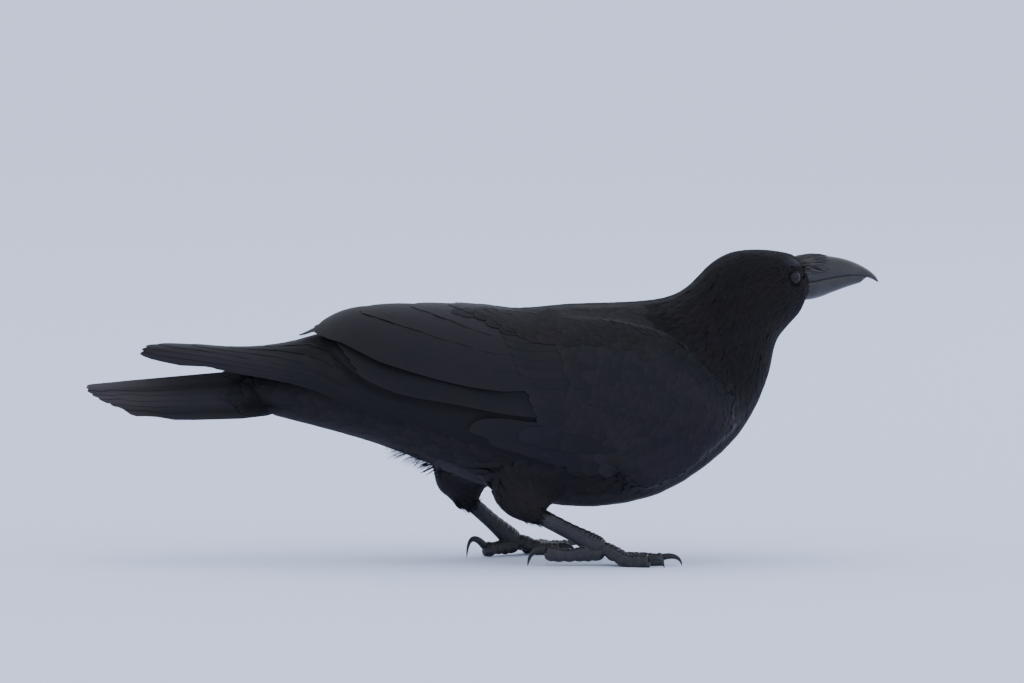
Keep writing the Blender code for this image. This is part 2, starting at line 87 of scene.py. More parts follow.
# The feathered body, tail to bill: back line (x, z), belly line (x, z), half width,
# how much wider it is low down than high up, and the share of the head's turn.
BODY = {
    "tail root": ((-130, 103), (-114, 80.6), 11, 0.0, 0),
    "tail coverts": ((-100, 110), (-92, 75), 19, 0.0, 0),
    "rump": ((-68, 119), (-60, 66), 29, 0.0, 0),
    "vent": ((-38, 128), (-30, 54.8), 38, 0.05, 0),
    "thighs": ((-8, 134), (0, 42.5), 44, 0.08, 0),
    "belly": ((22, 139.2), (30, 33.2), 47.5, 0.10, 0),
    "keel": ((50, 141.9), (62, 30), 49, 0.10, 0),
    "breast": ((74, 142.6), (96.5, 36.3), 48.5, 0.08, 0),
    "shoulders": ((94, 143.8), (123.2, 51.8), 45, 0.06, 0),
    "crop": ((107, 146.8), (142, 69.6), 40, 0.04, 0),
    "neck base": ((115.6, 152.6), (153, 88), 32.5, 0.02, 0.05),
    "neck": ((122.6, 160), (158.6, 104), 26.5, 0.0, 0.3),
    "neck top": ((130.2, 166.2), (161, 117.6), 22.8, 0.0, 0.65),
    "nape": ((140.5, 170.4), (165.6, 123.5), 21.3, -0.03, 0.92),
    "crown": ((153, 171.2), (172.8, 130), 20.9, -0.04, 1),
    "brow": ((166, 170.2), (179.2, 135.6), 18.6, 0.0, 1),
    "lores": ((177.5, 167.9), (184.8, 140), 14.0, 0.06, 1),
    "bill root": ((184, 165.2), (189.5, 143.6), 9.6, 0.05, 1),
}
# Feathers of each part of the body: how far apart they are rooted, length, half width, and how deep
# their roots lie under the coat.
FEATHERING = {
    "tail root": (3.6, 27, 3.4, 1.6),
    "tail coverts": (3.4, 25, 3.3, 2.0),
    "rump": (3.3, 19, 3.1, 2.4),
    "vent": (3.1, 18, 3.0, 2.5),
    "thighs": (3.1, 17, 2.9, 2.5),
    "belly": (3.1, 17, 2.9, 2.5),
    "keel": (3.1, 16, 2.9, 2.5),
    "breast": (3.0, 15, 2.8, 2.5),
    "shoulders": (2.9, 14, 2.7, 2.3),
    "crop": (2.4, 12.5, 2.2, 2.0),
    "neck base": (2.0, 12, 1.6, 1.7),
    "neck": (1.65, 11, 1.2, 1.5),
    "neck top": (1.4, 9.5, 0.95, 1.3),
    "nape": (1.25, 8.0, 0.82, 1.1),
    "crown": (1.15, 6.6, 0.75, 0.9),
    "brow": (1.05, 5.2, 0.7, 0.8),
    "lores": (0.95, 4.0, 0.65, 0.6),
    "bill root": (0.9, 3.4, 0.6, 0.5),
}

# The folded wings lie on these hulls. At each x: highest z, lowest z, half width.
WING_HULL = {
    143: (98, 68, 27), 138: (109, 58, 34), 128: (122, 49.5, 43), 112: (133.5, 41.5, 49), 90: (141, 36, 52.5),
    60: (141.6, 32.5, 54), 30: (138.8, 34, 54), 0: (141.4, 41, 52), -30: (142.2, 50, 47.5),
    -55: (141.5, 58, 42.5), -74: (138.6, 66, 37.5), -89: (131.8, 76, 34), -98: (127, 85, 31),
}
PRIMARY_HULL = {
    76: (139.6, 37.5, 51.5), 60: (140, 35, 52.5), 30: (138.5, 36.5, 52.5), 0: (139.4, 43.5, 50.5),
    -30: (139, 52.5, 46), -60: (135, 62, 39), -85: (127.4, 71, 32.5), -105: (121.4, 79, 27),
    -130: (118.6, 88, 22), -160: (120.3, 97, 18), -188: (121.4, 105, 13.5),
}
HULL_SQUARENESS = 0.8
# Edges on the hulls: the angle from the top, by x, in degrees.
WING_TOP = {143: 66, 128: 56, 112: 45, 90: 33, 60: 24, 30: 15, 5: 6, -30: 2.4, -89: 2.4}
WING_LOW = {143: 112, 138: 121, 128: 134, 112: 147, 98: 152, 86: 148, 76: 131, 60: 119, 30: 102, 0: 93,
            -30: 88, -55: 82, -74: 66, -84: 44, -89: 22}
PRIMARY_TOP = {76: 129.5, 60: 117.5, 30: 100.5, 0: 91.5, -30: 86.5, -55: 80, -72: 62,
               -80: 38, -86: 20, -92: 13, -105: 12, -130: 10, -160: 10, -188: 14}
PRIMARY_LOW = {76: 143, 60: 137, 30: 131, 0: 124, -30: 119, -60: 117, -85: 108, -105: 98, -130: 84,
               -144: 78, -160: 74, -176: 72, -188: 70}
TERTIAL_EDGE = {60: 84, 30: 82.5, 5: 80.7, -8: 79.8, -26: 77.4, -52: 74, -62.5: 67.4, -72: 60, -80: 46, -87: 24}
SECONDARY_EDGE = {60: 98, 29: 95, 16: 95, -3: 94.8, -22: 94.6, -42: 95.2, -55: 93, -67: 88, -76: 76, -84: 56}

# The tail: a folded fan of twelve feathers, roofed, with the middle pair longest.
TAIL_ROOT = Vector((-88, 0, 109.2))
TAIL_LENGTH = 129.5
TAIL_TURN = (Matrix.Rotation(math.radians(-5.2), 3, "Y")  # its droop, then its roll
             @ Matrix.Rotation(math.radians(3), 3, "X"))
TAIL_SHAPE = {0: (9, 16), 30: (14, 24), 60: (19, 23), 90: (23, 19.5), 112: (25, 15), 130: (26, 12.5)}

# The bill, seen from the side before the head turns: x, culmen z, mouth line z, gonys z, half width.
BILL = {
    176: (164.4, 152.4, 144.4, 9.6), 186: (165.8, 153.2, 142.5, 9.8), 194: (166.3, 154.1, 143.3, 8.8),
    203: (165.9, 155.0, 145.8, 7.5), 212: (164.3, 155.5, 148.2, 6.0), 220: (161.8, 155.2, 150.1, 4.5),
    228: (158.1, 153.9, 151.6, 3.1), 233: (154.6, 152.3, 151.9, 1.8), 235.6: (151.7, 150.7, 150.8, 0.5),
}
LOWER_BILL_END = 228.5
CUFF_END = 0.42
FLESH = ("head", "neck", "trunk", "tail_coverts", "shin_right", "shin_left")

LEGS = {
    "right": {
        "heel": (14, -27, 36.5), "foot": (64, -38, 11.2),
        "toes": {"middle": (3, 37, 0), "inner": (27, 27, 0), "outer": (-21, 31, 0), "hind": (183, 28.5, 4.4)},
    },
    "left": {
        "heel": (-18, 18, 42.3), "foot": (17, 43, 9.2),
        "toes": {"middle": (31, 37, 0), "inner": (5, 27, 0), "outer": (55, 31, 0), "hind": (222, 20, 0.8)},
    },
}
SHANK = {0: (3.4, 5.0), 0.1: (3.1, 4.9), 0.3: (2.9, 4.6), 0.5: (2.8, 4.4), 0.7: (2.9, 4.5), 0.86: (3.7, 5),
         0.96: (4.7, 5.2), 1.03: (4.6, 4.8), 1.085: (2.6, 2.6)}
TOE_SIZE = (3.1, 3.75)
TOE_AXIS_HEIGHT = 3.2
HIND_PADS = [1.15, 1.15, 1.0, 0.92, 0.95, 1.12, 0.9]
TOE_SLOPE = 20
CLAWS = {"middle": (9.4, 6.8, 1.7), "inner": (8.6, 6.2, 1.6), "outer": (8.2, 6.2, 1.6),
         "hind_right": (9.0, 10.5, 2.1), "hind_left": (12.5, 17, 2.1)}


# ---------------------------------------------------------------- measures


def between(values, share):
    """Smooth curve through evenly spaced tuples, read at share, which counts in spans."""
    last = len(values) - 1
    i = max(0, min(int(share), last - 1))
    t = share - i
    rows = [values[max(0, min(last, i + k))] for k in (-1, 0, 1, 2)]
    return [0.5 * (2 * b + (c - a) * t + (2 * a - 5 * b + 4 * c - d) * t**2 + (3 * b - a - 3 * c + d) * t**3)
            for a, b, c, d in zip(*rows)]


def at(table, x):
    """A table's values at x, eased between its stations; numbers and tuples both work."""
    stations = sorted(table)
    rows = [table[s] if isinstance(table[s], tuple) else (table[s],) for s in stations]
    x = max(stations[0], min(stations[-1], x))
    i = max(k for k in range(len(stations) - 1) if stations[k] <= x)
    step = stations[i + 1] - stations[i]
    t = (x - stations[i]) / step

    def slope(k, column):
        a, b = max(0, k - 1), min(len(stations) - 1, k + 1)
        return (rows[b][column] - rows[a][column]) / (stations[b] - stations[a]) * step

    found = []
    for c in range(len(rows[0])):
        found.append((2 * t**3 - 3 * t**2 + 1) * rows[i][c] + (t**3 - 2 * t**2 + t) * slope(i, c)
                     + (3 * t**2 - 2 * t**3) * rows[i + 1][c] + (t**3 - t**2) * slope(i + 1, c))
    return found[0] if len(found) == 1 else found


def eased(low, high, x):
    """0 on the low side, 1 on the high side, and smooth between; high may be less than low."""
    t = max(0.0, min(1.0, (x - low) / (high - low)))
    return t * t * (3 - 2 * t)


def rounded(value, power):
    return math.copysign(abs(value) ** power, value)


def head_turn(share=1.0):
    return Matrix.Rotation(HEAD_TURN * share, 3, "Z")


def turned(point, share=1.0):
    """The point after that share of the head's turn."""
    return head_turn(share) @ (point - NECK_PIVOT) + NECK_PIVOT


def unturned(point):
    """Where a point of the head would be with the head straight."""
    return turned(point, -1)


EYE_LOW, EYE_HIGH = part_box("eye_right")
SHIFT = (EYE_LOW + EYE_HIGH) / 2 - turned(EYE) * MM
TO_FRAME = Matrix.Translation(SHIFT) @ Matrix.Scale(MM, 4)
TO_CROW = TO_FRAME.inverted()
EYES = {"right": turned(EYE), "left": turned(Vector((EYE.x, -EYE.y, EYE.z)))}
BODY_ROWS = [(*back, *belly, half, low, turn) for back, belly, half, low, turn in BODY.values()]
SPINE_STEPS = 8


def eye_axis(name):
    """The way an eye looks."""
    return head_turn() @ Vector((0.16, -1 if name == "right" else 1, 0.03)).normalized()


class Spine:
    """The body's middle line, for finding which part of the body a point belongs to and how its feathers lie."""

    def __init__(self):
        count = (len(BODY_ROWS) - 1) * SPINE_STEPS
        middles, ups, outs = [], [], []
        for k in range(count + 1):
            back_x, back_z, belly_x, belly_z, _, _, turn = between(BODY_ROWS, k / SPINE_STEPS)
            back, belly = turned(Vector((back_x, 0, back_z)), turn), turned(Vector((belly_x, 0, belly_z)), turn)
            middles.append((back + belly) / 2)
            ups.append((back - belly).normalized())
            outs.append(head_turn(turn) @ Vector((0, -1, 0)))
        self.middles, self.ups, self.outs = (np.array(v) for v in (middles, ups, outs))
        self.ahead = np.gradient(self.middles, axis=0)
        self.ahead /= np.linalg.norm(self.ahead, axis=1)[:, None]

    def station(self, point):
        """Where along the body the point is, in spans from the tail root."""
        away = np.array(point) - self.middles
        # the ring whose plane passes closest through the point, among those near it
        off = np.abs((away * np.cross(self.ups, self.outs)).sum(1)) + 0.12 * np.linalg.norm(away, axis=1)
        return int(off.argmin())

    def read(self, point):
        """Station in spans, angle from the back in degrees, and the way the feathers lie, towards the tail."""
        k = self.station(point)
        away = np.array(point) - self.middles[k]
        angle = math.degrees(math.atan2(away @ self.outs[k], away @ self.ups[k]))
        near = slice(max(0, k - 4), k + 5)
        return k / SPINE_STEPS, angle, -Vector(self.ahead[near].mean(0)).normalized()


SPINE = Spine()
STATIONS = list(BODY)
FEATHER_ROWS = [FEATHERING[name] for name in STATIONS]


# ---------------------------------------------------------------- making pieces


def from_node(name):
    """A CAD node's mesh with its loose triangles merged, in crow measures."""
    bm = bmesh.new()
    bm.from_mesh(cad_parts[name].data)
    bmesh.ops.remove_doubles(bm, verts=bm.verts, dist=1e-6)
    bmesh.ops.transform(bm, matrix=TO_CROW, verts=bm.verts)
    return bm


def to_mesh(bm, name="part"):
    """A mesh from a bmesh, which is freed."""
    mesh = bpy.data.meshes.new(name)
    bm.to_mesh(mesh)
    bm.free()
    return mesh


def joined(parts):
    """One bmesh holding all of these, which are freed."""
    whole = bmesh.new()
    for part in parts:
        mesh = to_mesh(part)
        whole.from_mesh(mesh)
        bpy.data.meshes.remove(mesh)
    return whole


def rolled(around, along, place):
    """A closed form: a grid rolled up, whose point at (share around, share along) is place's."""
    bm = bmesh.new()
    bmesh.ops.create_grid(bm, x_segments=around, y_segments=along, size=1)
    for vert in bm.verts:
        vert.co = place((vert.co.x + 1) / 2, (vert.co.y + 1) / 2)
    bmesh.ops.remove_doubles(bm, verts=bm.verts, dist=1e-4)
    holes = [edge for edge in bm.edges if edge.is_boundary]
    if holes:
        bmesh.ops.holes_fill(bm, edges=holes, sides=0)
    bmesh.ops.recalc_face_normals(bm, faces=bm.faces)
    return bm


def remeshed(bm, size):
    """The outer skin of closed forms that overlap, as one even mesh."""
    mesh = to_mesh(bm)
    obj = bpy.data.objects.new("remesh", mesh)
    bpy.context.scene.collection.objects.link(obj)
    modifier = obj.modifiers.new("remesh", "REMESH")
    modifier.mode = "VOXEL"
    modifier.voxel_size = size
    found = bmesh.new()
    found.from_mesh(obj.evaluated_get(bpy.context.evaluated_depsgraph_get()).to_mesh())
    bpy.data.objects.remove(obj)
    bpy.data.meshes.remove(mesh)
    return found


def biggest(bm):
    """Drops every loose part but the largest."""
    left, groups = set(bm.verts), []
    while left:
        front = [left.pop()]
        group = set(front)
        while front:
            near = {vert for edge in front.pop().link_edges for vert in edge.verts} & left
            left -= near
            group |= near
            front.extend(near)
        groups.append(group)
    groups.sort(key=len)
    for group in groups[:-1]:
        bmesh.ops.delete(bm, geom=list(group), context="VERTS")


def evened(bm, times=1, factor=0.5, keep_rim=False):
    """Draws the points towards their neighbours, that many times."""
    verts = [vert for vert in bm.verts if not (keep_rim and vert.is_boundary)]
    for _ in range(times):
        bmesh.ops.smooth_vert(bm, verts=verts, factor=factor, use_axis_x=True, use_axis_y=True, use_axis_z=True)


def swollen(bm, amount):
    """Moves every point out along its normal."""
    bm.normal_update()
    for vert in bm.verts:
        vert.co += vert.normal * amount


def make_piece(name, bm, material, replaces=()):
    """A piece in the frame from a bmesh in crow measures."""
    bmesh.ops.transform(bm, matrix=TO_FRAME, verts=bm.verts)
    mesh = to_mesh(bm, name)
    mesh.shade_smooth()
    return add_piece(name, mesh, material, replaces)


def add_piece(name, mesh, material, replaces=()):
    obj = bpy.data.objects.new(name, mesh)
    bpy.context.scene.collection.objects.link(obj)
    mesh.materials.append(material)
    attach(obj, "root")
    if replaces:
        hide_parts(*replaces)
    return obj


class Ground:
    """A surface that feathers lie on."""

    def __init__(self, bm):
        bm.normal_update()
        bm.verts.ensure_lookup_table()
        bm.faces.ensure_lookup_table()
        self.tree = BVHTree.FromBMesh(bm)
        self.corners = [[vert.index for vert in face.verts] for face in bm.faces]
        self.points = [vert.co.copy() for vert in bm.verts]
        self.normals = [vert.normal.copy() for vert in bm.verts]
        bm.free()

    def settle(self, point):
        """The nearest place on the ground, and the smooth normal there."""
        place, _, index, _ = self.tree.find_nearest(point)
        normal = Vector((0, 0, 0))
        for corner in self.corners[index]:
            normal += self.normals[corner] / ((self.points[corner] - place).length + 0.05)
        return place, normal.normalized()


class Vane:
    """A feather's outline: how wide it is at each share of its length, on a closed flat blade of that many strips.

    Lines is how many lines along it are laid on the ground one by one.
    """

    def __init__(self, strips, outline, lines=3):
        self.lines = np.linspace(-1, 1, lines)
        self.shares = [share for share, _ in outline]
        self.widths = [width for _, width in outline]
        bm = bmesh.new()
        rings = len(outline) - 1
        bmesh.ops.create_grid(bm, x_segments=strips, y_segments=rings, size=1)
        twin = bmesh.ops.duplicate(bm, geom=bm.verts[:] + bm.edges[:] + bm.faces[:])["geom"]
        under = {item for item in twin if isinstance(item, bmesh.types.BMVert)}
        bmesh.ops.reverse_faces(bm, faces=[item for item in twin if isinstance(item, bmesh.types.BMFace)])
        for vert in bm.verts:
            if not vert.is_boundary:
                vert.co.z = -1 if vert in under else 1
        bmesh.ops.remove_doubles(bm, verts=bm.verts, dist=1e-5)
        bm.verts.index_update()
        self.across = np.array([vert.co.x for vert in bm.verts])
        self.ring = np.array([round((vert.co.y + 1) / 2 * rings) for vert in bm.verts])
        self.side = np.array([vert.co.z for vert in bm.verts])
        self.faces = np.array([[vert.index for vert in face.verts] for face in bm.faces])
        bm.free()


CONTOUR = Vane(2, [(0, 0.3), (0.2, 0.72), (0.42, 0.95), (0.64, 1), (0.82, 0.86), (0.94, 0.52), (1, 0.12)])
SOFT = Vane(2, [(0, 0.4), (0.25, 0.85), (0.5, 1), (0.72, 0.82), (0.88, 0.46), (1, 0.04)])
COVERT = Vane(4, [(0, 0.4), (0.2, 0.82), (0.42, 1), (0.62, 1), (0.78, 0.95), (0.9, 0.76), (0.97, 0.45), (1, 0.14)])
QUILL = Vane(6, [(0, 0.3), (0.06, 0.6), (0.13, 0.82), (0.22, 0.93), (0.32, 0.98), (0.42, 1), (0.52, 1), (0.61, 1),
                 (0.7, 0.99), (0.78, 0.96), (0.85, 0.9), (0.905, 0.81), (0.945, 0.69), (0.973, 0.53), (0.991, 0.32),
                 (1, 0.08)], 7)
BROAD = Vane(6, [(0, 0.3), (0.08, 0.62), (0.18, 0.84), (0.3, 0.95), (0.42, 1), (0.54, 1), (0.65, 1), (0.75, 1),
                 (0.83, 0.98), (0.89, 0.93), (0.935, 0.84), (0.965, 0.7), (0.985, 0.5), (0.996, 0.28), (1, 0.1)], 7)
HAIR = Vane(2, [(0, 0.6), (0.4, 1), (0.75, 0.7), (1, 0.08)])
PATCH = 0.003  # how wide a feather's patch is on the bake's map


class Coat:
    """Feathers of one outline, gathered and made into one mesh."""

    def __init__(self, vane):
        self.vane = vane
        self.rows, self.thick, self.sizes, self.spots, self.tones = [], [], [], [], []

    def add(self, rows, thick, size, spot, tone, shade=None):
        """rows holds a point on each line, then the normal, at each ring; size is length and half widths."""
        self.rows.append(rows)
        self.thick.append(thick)
        self.sizes.append(size)
        self.spots.append(spot)
        self.tones.append([[tone + (shade(point) if shade else 0.0) for point in row[:-1]] for row in rows])

    def lay(self, ground, root, heading, length, halves, spot, tone, depth=2.0, tip=0.3, tilt=0.0, thick=0.25,
            steer=None, hug=True, rise=1.3, fray=0.0, chance=None, shade=None, side=0):
        """Lays a feather from its root over the ground.

        Halves is its half width to the left and right of the shaft. It starts depth under the ground and ends
        tip above it; tilt raises its right side and sinks its left. Steer gives its heading at a point, fray
        roughens its edges near the end, and shade adds painted light and shade to the tone at a point. With a
        side, it stays on that side of the back, and the right side's feathers lie over the left side's there.
        """
        point, normal = ground.settle(root)
        rows, last = [], 0.0
        for share, width in zip(self.vane.shares, self.vane.widths):
            if share > 0:
                point, normal = ground.settle(point + heading * length * (share - last))
                if steer:
                    heading = steer(point, share, heading)
            last = share
            heading = (heading - normal * heading.dot(normal)).normalized()
            across = heading.cross(normal)
            height = tip * share - depth * (1 - share) ** rise
            row = []
            for line in self.vane.lines:
                reach = halves[int(line > 0)] * width * line
                if fray and share > 0.8:
                    reach *= 1 - fray * chance.random()
                place, way = point + across * reach, normal
                near = ground.settle(place) if hug and line else None
                if near and (near[0] - place).length < 0.3 + 0.5 * abs(reach):
                    place, way = near
                elif line:
                    place = place - normal * reach * reach / 50
                place = place + way * (height + line * tilt * width)
                if side:
                    place.y = side * max(side * place.y, 0.3 if side > 0 else -3.0)
                    place.z -= 2.6 * eased(20, 4, place.y) if side > 0 else 0.1 * eased(-5, 2, place.y)
                row.append(place)
            rows.append((*row, normal))
        self.add(rows, thick, (length, halves[0], halves[1]), spot, tone, shade)

    def loose(self, points, normal, half, spot, tone, thick=0.25):
        """A free hair or feather along points, which follow each other from root to tip."""
        rows = []
        for share, width in zip(self.vane.shares, self.vane.widths):
            point = Vector(between([tuple(p) for p in points], share * (len(points) - 1)))
            ahead = (Vector(between([tuple(p) for p in points], min(share + 0.02, 1) * (len(points) - 1)))
                     - Vector(between([tuple(p) for p in points], max(share - 0.02, 0) * (len(points) - 1))))
            across = ahead.cross(normal).normalized()
            rows.append((point - across * half * width, point, point + across * half * width, normal))
        length = sum((b - a).length for a, b in zip(points, points[1:]))
        self.add(rows, thick, (length, half, half), spot, tone)

    def build(self, name, material, slot, replaces=()):
        if not self.rows:
            raise RuntimeError(name + " has no feathers")
        vane = self.vane
        rows = np.array(self.rows)  # feather, ring, (a point on each line, normal), axis
        count = len(rows)
        ring, across, side = vane.ring, vane.across, vane.side
        spot = (across + 1) / 2 * (len(vane.lines) - 1)
        line = np.minimum(spot.astype(int), len(vane.lines) - 2)
        share = (spot - line)[None, :, None]
        width = np.array(vane.widths)[ring]
        swell = (1 - across**2) * side * (0.35 + 0.65 * width)
        points = rows[:, ring, line] * (1 - share) + rows[:, ring, line + 1] * share
        points = points + rows[:, ring, -1] * swell[None, :, None] * np.array(self.thick)[:, None, None] / 2
        points = points.reshape(-1, 3) * MM + np.array(SHIFT)
        corners = (vane.faces[None] + (np.arange(count) * len(ring))[:, None, None]).reshape(-1, 4)
        mesh = bpy.data.meshes.new(name)
        mesh.vertices.add(len(points))
        mesh.vertices.foreach_set("co", points.astype(np.float32).ravel())
        mesh.loops.add(corners.size)
        mesh.loops.foreach_set("vertex_index", corners.astype(np.int32).ravel())
        mesh.polygons.add(len(corners))
        mesh.polygons.foreach_set("loop_start", (np.arange(len(corners)) * 4).astype(np.int32))
        mesh.update(calc_edges=True)
        mesh.validate()
        mesh.shade_smooth()
        mesh.set_sharp_from_angle(angle=1.2)
        length, left, right = (np.array(self.sizes)[:, k][:, None] for k in range(3))
        t = np.array(vane.shares)[ring][None, :]
        reach = np.where(across[None] < 0, left, right) * across[None] * width[None]
        spots = np.array(self.spots)
        ratio = np.clip(length / (left + right), 1, 8)
        bake = np.stack([spots[:, :1] + (across[None] + 1) / 2 * PATCH, spots[:, 1:] + t * PATCH * ratio], -1)
        vane_map = np.stack([reach * 0.01 + 0.5, t * length * 0.01], -1)
        for title, values in (("OFBake", np.clip(bake, 0, 1)), ("Vane", vane_map)):
            layer = mesh.uv_layers.new(name=title)
            layer.data.foreach_set("uv", values.reshape(-1, 2)[corners.ravel()].astype(np.float32).ravel())
        tone = mesh.attributes.new("tone", "FLOAT", "POINT")
        tones = np.array(self.tones)
        tones = tones[:, ring, line] * (1 - share[..., 0]) + tones[:, ring, line + 1] * share[..., 0]
        tone.data.foreach_set("value", tones.astype(np.float32).ravel())
        share_along = mesh.attributes.new("along", "FLOAT", "POINT")
        share_along.data.foreach_set("value", np.tile(t[0], count).astype(np.float32))
        return add_piece(name, mesh, material, replaces)


# ---------------------------------------------------------------- surfaces


def body_forms():
    """The merged nodes of flesh, swollen just enough to close the cuts between them, and both cuffs."""
    parts = [from_node(name) for name in FLESH]
    for bm in parts:
        swollen(bm, 0.22)
    for leg in LEGS.values():
        heel, foot = Vector(leg["heel"]), Vector(leg["foot"])
        parts.append(cuff(heel.lerp(foot, 0.2), heel.lerp(foot, CUFF_END)))
    return joined(parts)


def cuff(start, end):
    """Where a thigh's feathers narrow onto the shank."""
    ahead = (end - start).normalized()
    across = ahead.cross(Vector((0, 0, 1))).normalized()
    deep = across.cross(ahead)

    def place(u, v):
        reach = max(0.0, min(1.0, (v - 0.02) / 0.96))
        size = (1 - 0.42 * reach) if 0 < v < 1 else 0.0
        angle = 2 * math.pi * u
        return (start.lerp(end, reach) + across * 5.4 * size * math.cos(angle)
                + deep * 7.4 * size * math.sin(angle))

    return rolled(24, 12, place)


def filled(bm, gap, size):
    """One surface round these forms, with hollows narrower than twice the gap filled."""
    for way in (1, -1):
        bm = remeshed(bm, size)
        biggest(bm)
        swollen(bm, gap * way)
    return bm


def wing_sheet(side, edges=(WING_TOP, WING_LOW), span=(143, -92)):
    return hull_sheet(WING_HULL, edges, side, 2.6, span, True)


def wing_slab(side, thickness, span=(143, -92)):
    bm = wing_sheet(side, span=span)
    bmesh.ops.solidify(bm, geom=bm.faces[:], thickness=thickness)
    return bm


def coat_surface(wings=False):
    """The outside of the coat on body and thighs, and over the front of the wings too if they are wanted."""
    parts = [body_forms()]
    if wings:
        parts += [wing_slab(side, 3.5, (143, 60)) for side in (-1, 1)]
        for centre in EYES.values():
            bm = bmesh.new()
            bmesh.ops.create_icosphere(bm, subdivisions=4, radius=EYE_RADIUS + 0.5)
            bmesh.ops.translate(bm, vec=centre, verts=bm.verts)
            parts.append(bm)
    bm = filled(joined(parts), 7 if wings else 4, 1.6)
    evened(bm, 4)
    bm.normal_update()
    for vert in bm.verts:
        ahead = unturned(vert.co).x
        if ahead > 174:
            vert.co -= vert.normal * 2.3 * eased(174.5, 182, ahead)
    return bm


def hull_place(sizes, x, degrees, side):
    """The point at an angle from the top of a hull's section, given its highest and lowest z and half width."""
    top, bottom, half = sizes
    angle = math.radians(degrees)
    y = half * rounded(math.sin(angle), HULL_SQUARENESS)
    return Vector((x, side * y, (top + bottom) / 2 + (top - bottom) / 2 * math.cos(angle)))


def hull_point(hull, x, degrees, side):
    return hull_place(at(hull, x), x, degrees, side)


def tuck(x, degrees):
    """How far a wing may stand off the body: little near its front edge, where it rounds down to the breast."""
    size = 0.0175 * at(WING_HULL, x)[2]
    off = min(143 - x, (at(WING_LOW, x) - degrees) * size + 40 * eased(76, 54, x),
              (degrees - at(WING_TOP, x)) * size + 40 * eased(50, 26, x))
    return 8 * math.sqrt(1 - (1 - max(0.0, min(12.0, off)) / 12) ** 2) - 0.8 + 1.5 * max(0.0, off - 12)


def facing(bm, axis, side):
    """Turns an open sheet's faces so that most look along that side of the axis."""
    bm.normal_update()
    if sum(face.normal[axis] * side for face in bm.faces) < 0:
        bmesh.ops.reverse_faces(bm, faces=bm.faces)
    return bm


def hull_sheet(hull, edges, side, lift, span, tucked=False):
    """The open sheet a wing's feathers lie on, kept clear of the body, from x to x and edge to edge."""
    body, stations = body_ground(), {}
    bm = bmesh.new()
    bmesh.ops.create_grid(bm, x_segments=120, y_segments=48, size=1)
    for vert in bm.verts:
        u, v = (vert.co.x + 1) / 2, (vert.co.y + 1) / 2
        x = span[0] + (span[1] - span[0]) * u
        if u not in stations:
            stations[u] = (at(edges[0], x), at(edges[1], x), at(hull, x))
        high, low, sizes = stations[u]
        degrees = high + (low - high) * v
        point = hull_place(sizes, x, degrees, side)
        axis = Vector((x, 0, (sizes[0] + sizes[1]) / 2))
        outward = (point - axis).normalized()
        hit = body.tree.ray_cast(axis, outward)[0]
        if hit:
            inside = (hit - axis).length
            reach = max((point - axis).length, inside + lift)
            if tucked and x > 26:
                reach = min(reach, inside + tuck(x, degrees))
            point = axis + outward * reach
        vert.co = point
    evened(bm, 2, keep_rim=True)
    return facing(bm, 1, side)


def tail_point(along, across):
    """A point of the roofed tail: how far back from its root, and from -1 to 1 across."""
    half, fall = at(TAIL_SHAPE, along)
    return TAIL_ROOT + TAIL_TURN @ Vector((-along, half * across, -fall * abs(across) ** 1.3))


def tail_painted_light_and_shade(point):
    """Painted light and shade on the tail: its feathers are painted paler to the end, with a painted dark line of shade
    under the middle pair and a painted dark band of shade low down.
    """
    place = TAIL_TURN.transposed() @ (point - TAIL_ROOT)
    across = abs(place.y) / at(TAIL_SHAPE, -place.x)[0]
    return (0.9 * eased(80, 125, -place.x) - 1.3 * math.exp(-((across - 0.36) / 0.06) ** 2)
            - 1.5 * math.exp(-((across - 0.86) / 0.1) ** 2))


# The surfaces that the feathers lie on are made once and shared.


@cache
def body_ground():
    return Ground(coat_surface())


@cache
def plumage_ground():
    """The body with the front of the wings bedded in it."""
    return Ground(coat_surface(wings=True))


@cache
def cloak_ground():
    """One soft surface over body and wings together."""
    bm = filled(joined([body_forms(), wing_slab(-1, 5), wing_slab(1, 5)]), 6, 2.2)
    evened(bm, 5)
    return Ground(bm)


@cache
def wing_ground(side):
    low = {x: min(172, angle + 14) for x, angle in WING_LOW.items()}
    low.update({0: 112, -30: 106, -55: 102, -74: 98, -84: 92, -89: 88})
    high = {x: max(-3.0 if side < 0 else 0.0, angle - 7) for x, angle in WING_TOP.items()}
    return Ground(wing_sheet(side, (high, low), (143, -103)))


@cache
def primary_ground(side):
    top = {x: max(6, angle - 40) for x, angle in PRIMARY_TOP.items()}
    low = {x: angle + 8 for x, angle in PRIMARY_LOW.items()}
    return Ground(hull_sheet(PRIMARY_HULL, (top, low), side, 1.3, (76, -192)))


@cache
def tail_ground():
    bm = bmesh.new()
    bmesh.ops.create_grid(bm, x_segments=60, y_segments=40, size=1)
    for vert in bm.verts:
        vert.co = tail_point((vert.co.x + 1) / 2 * 134, vert.co.y * 1.04)
    return Ground(facing(bm, 2, 1))


# ---------------------------------------------------------------- materials


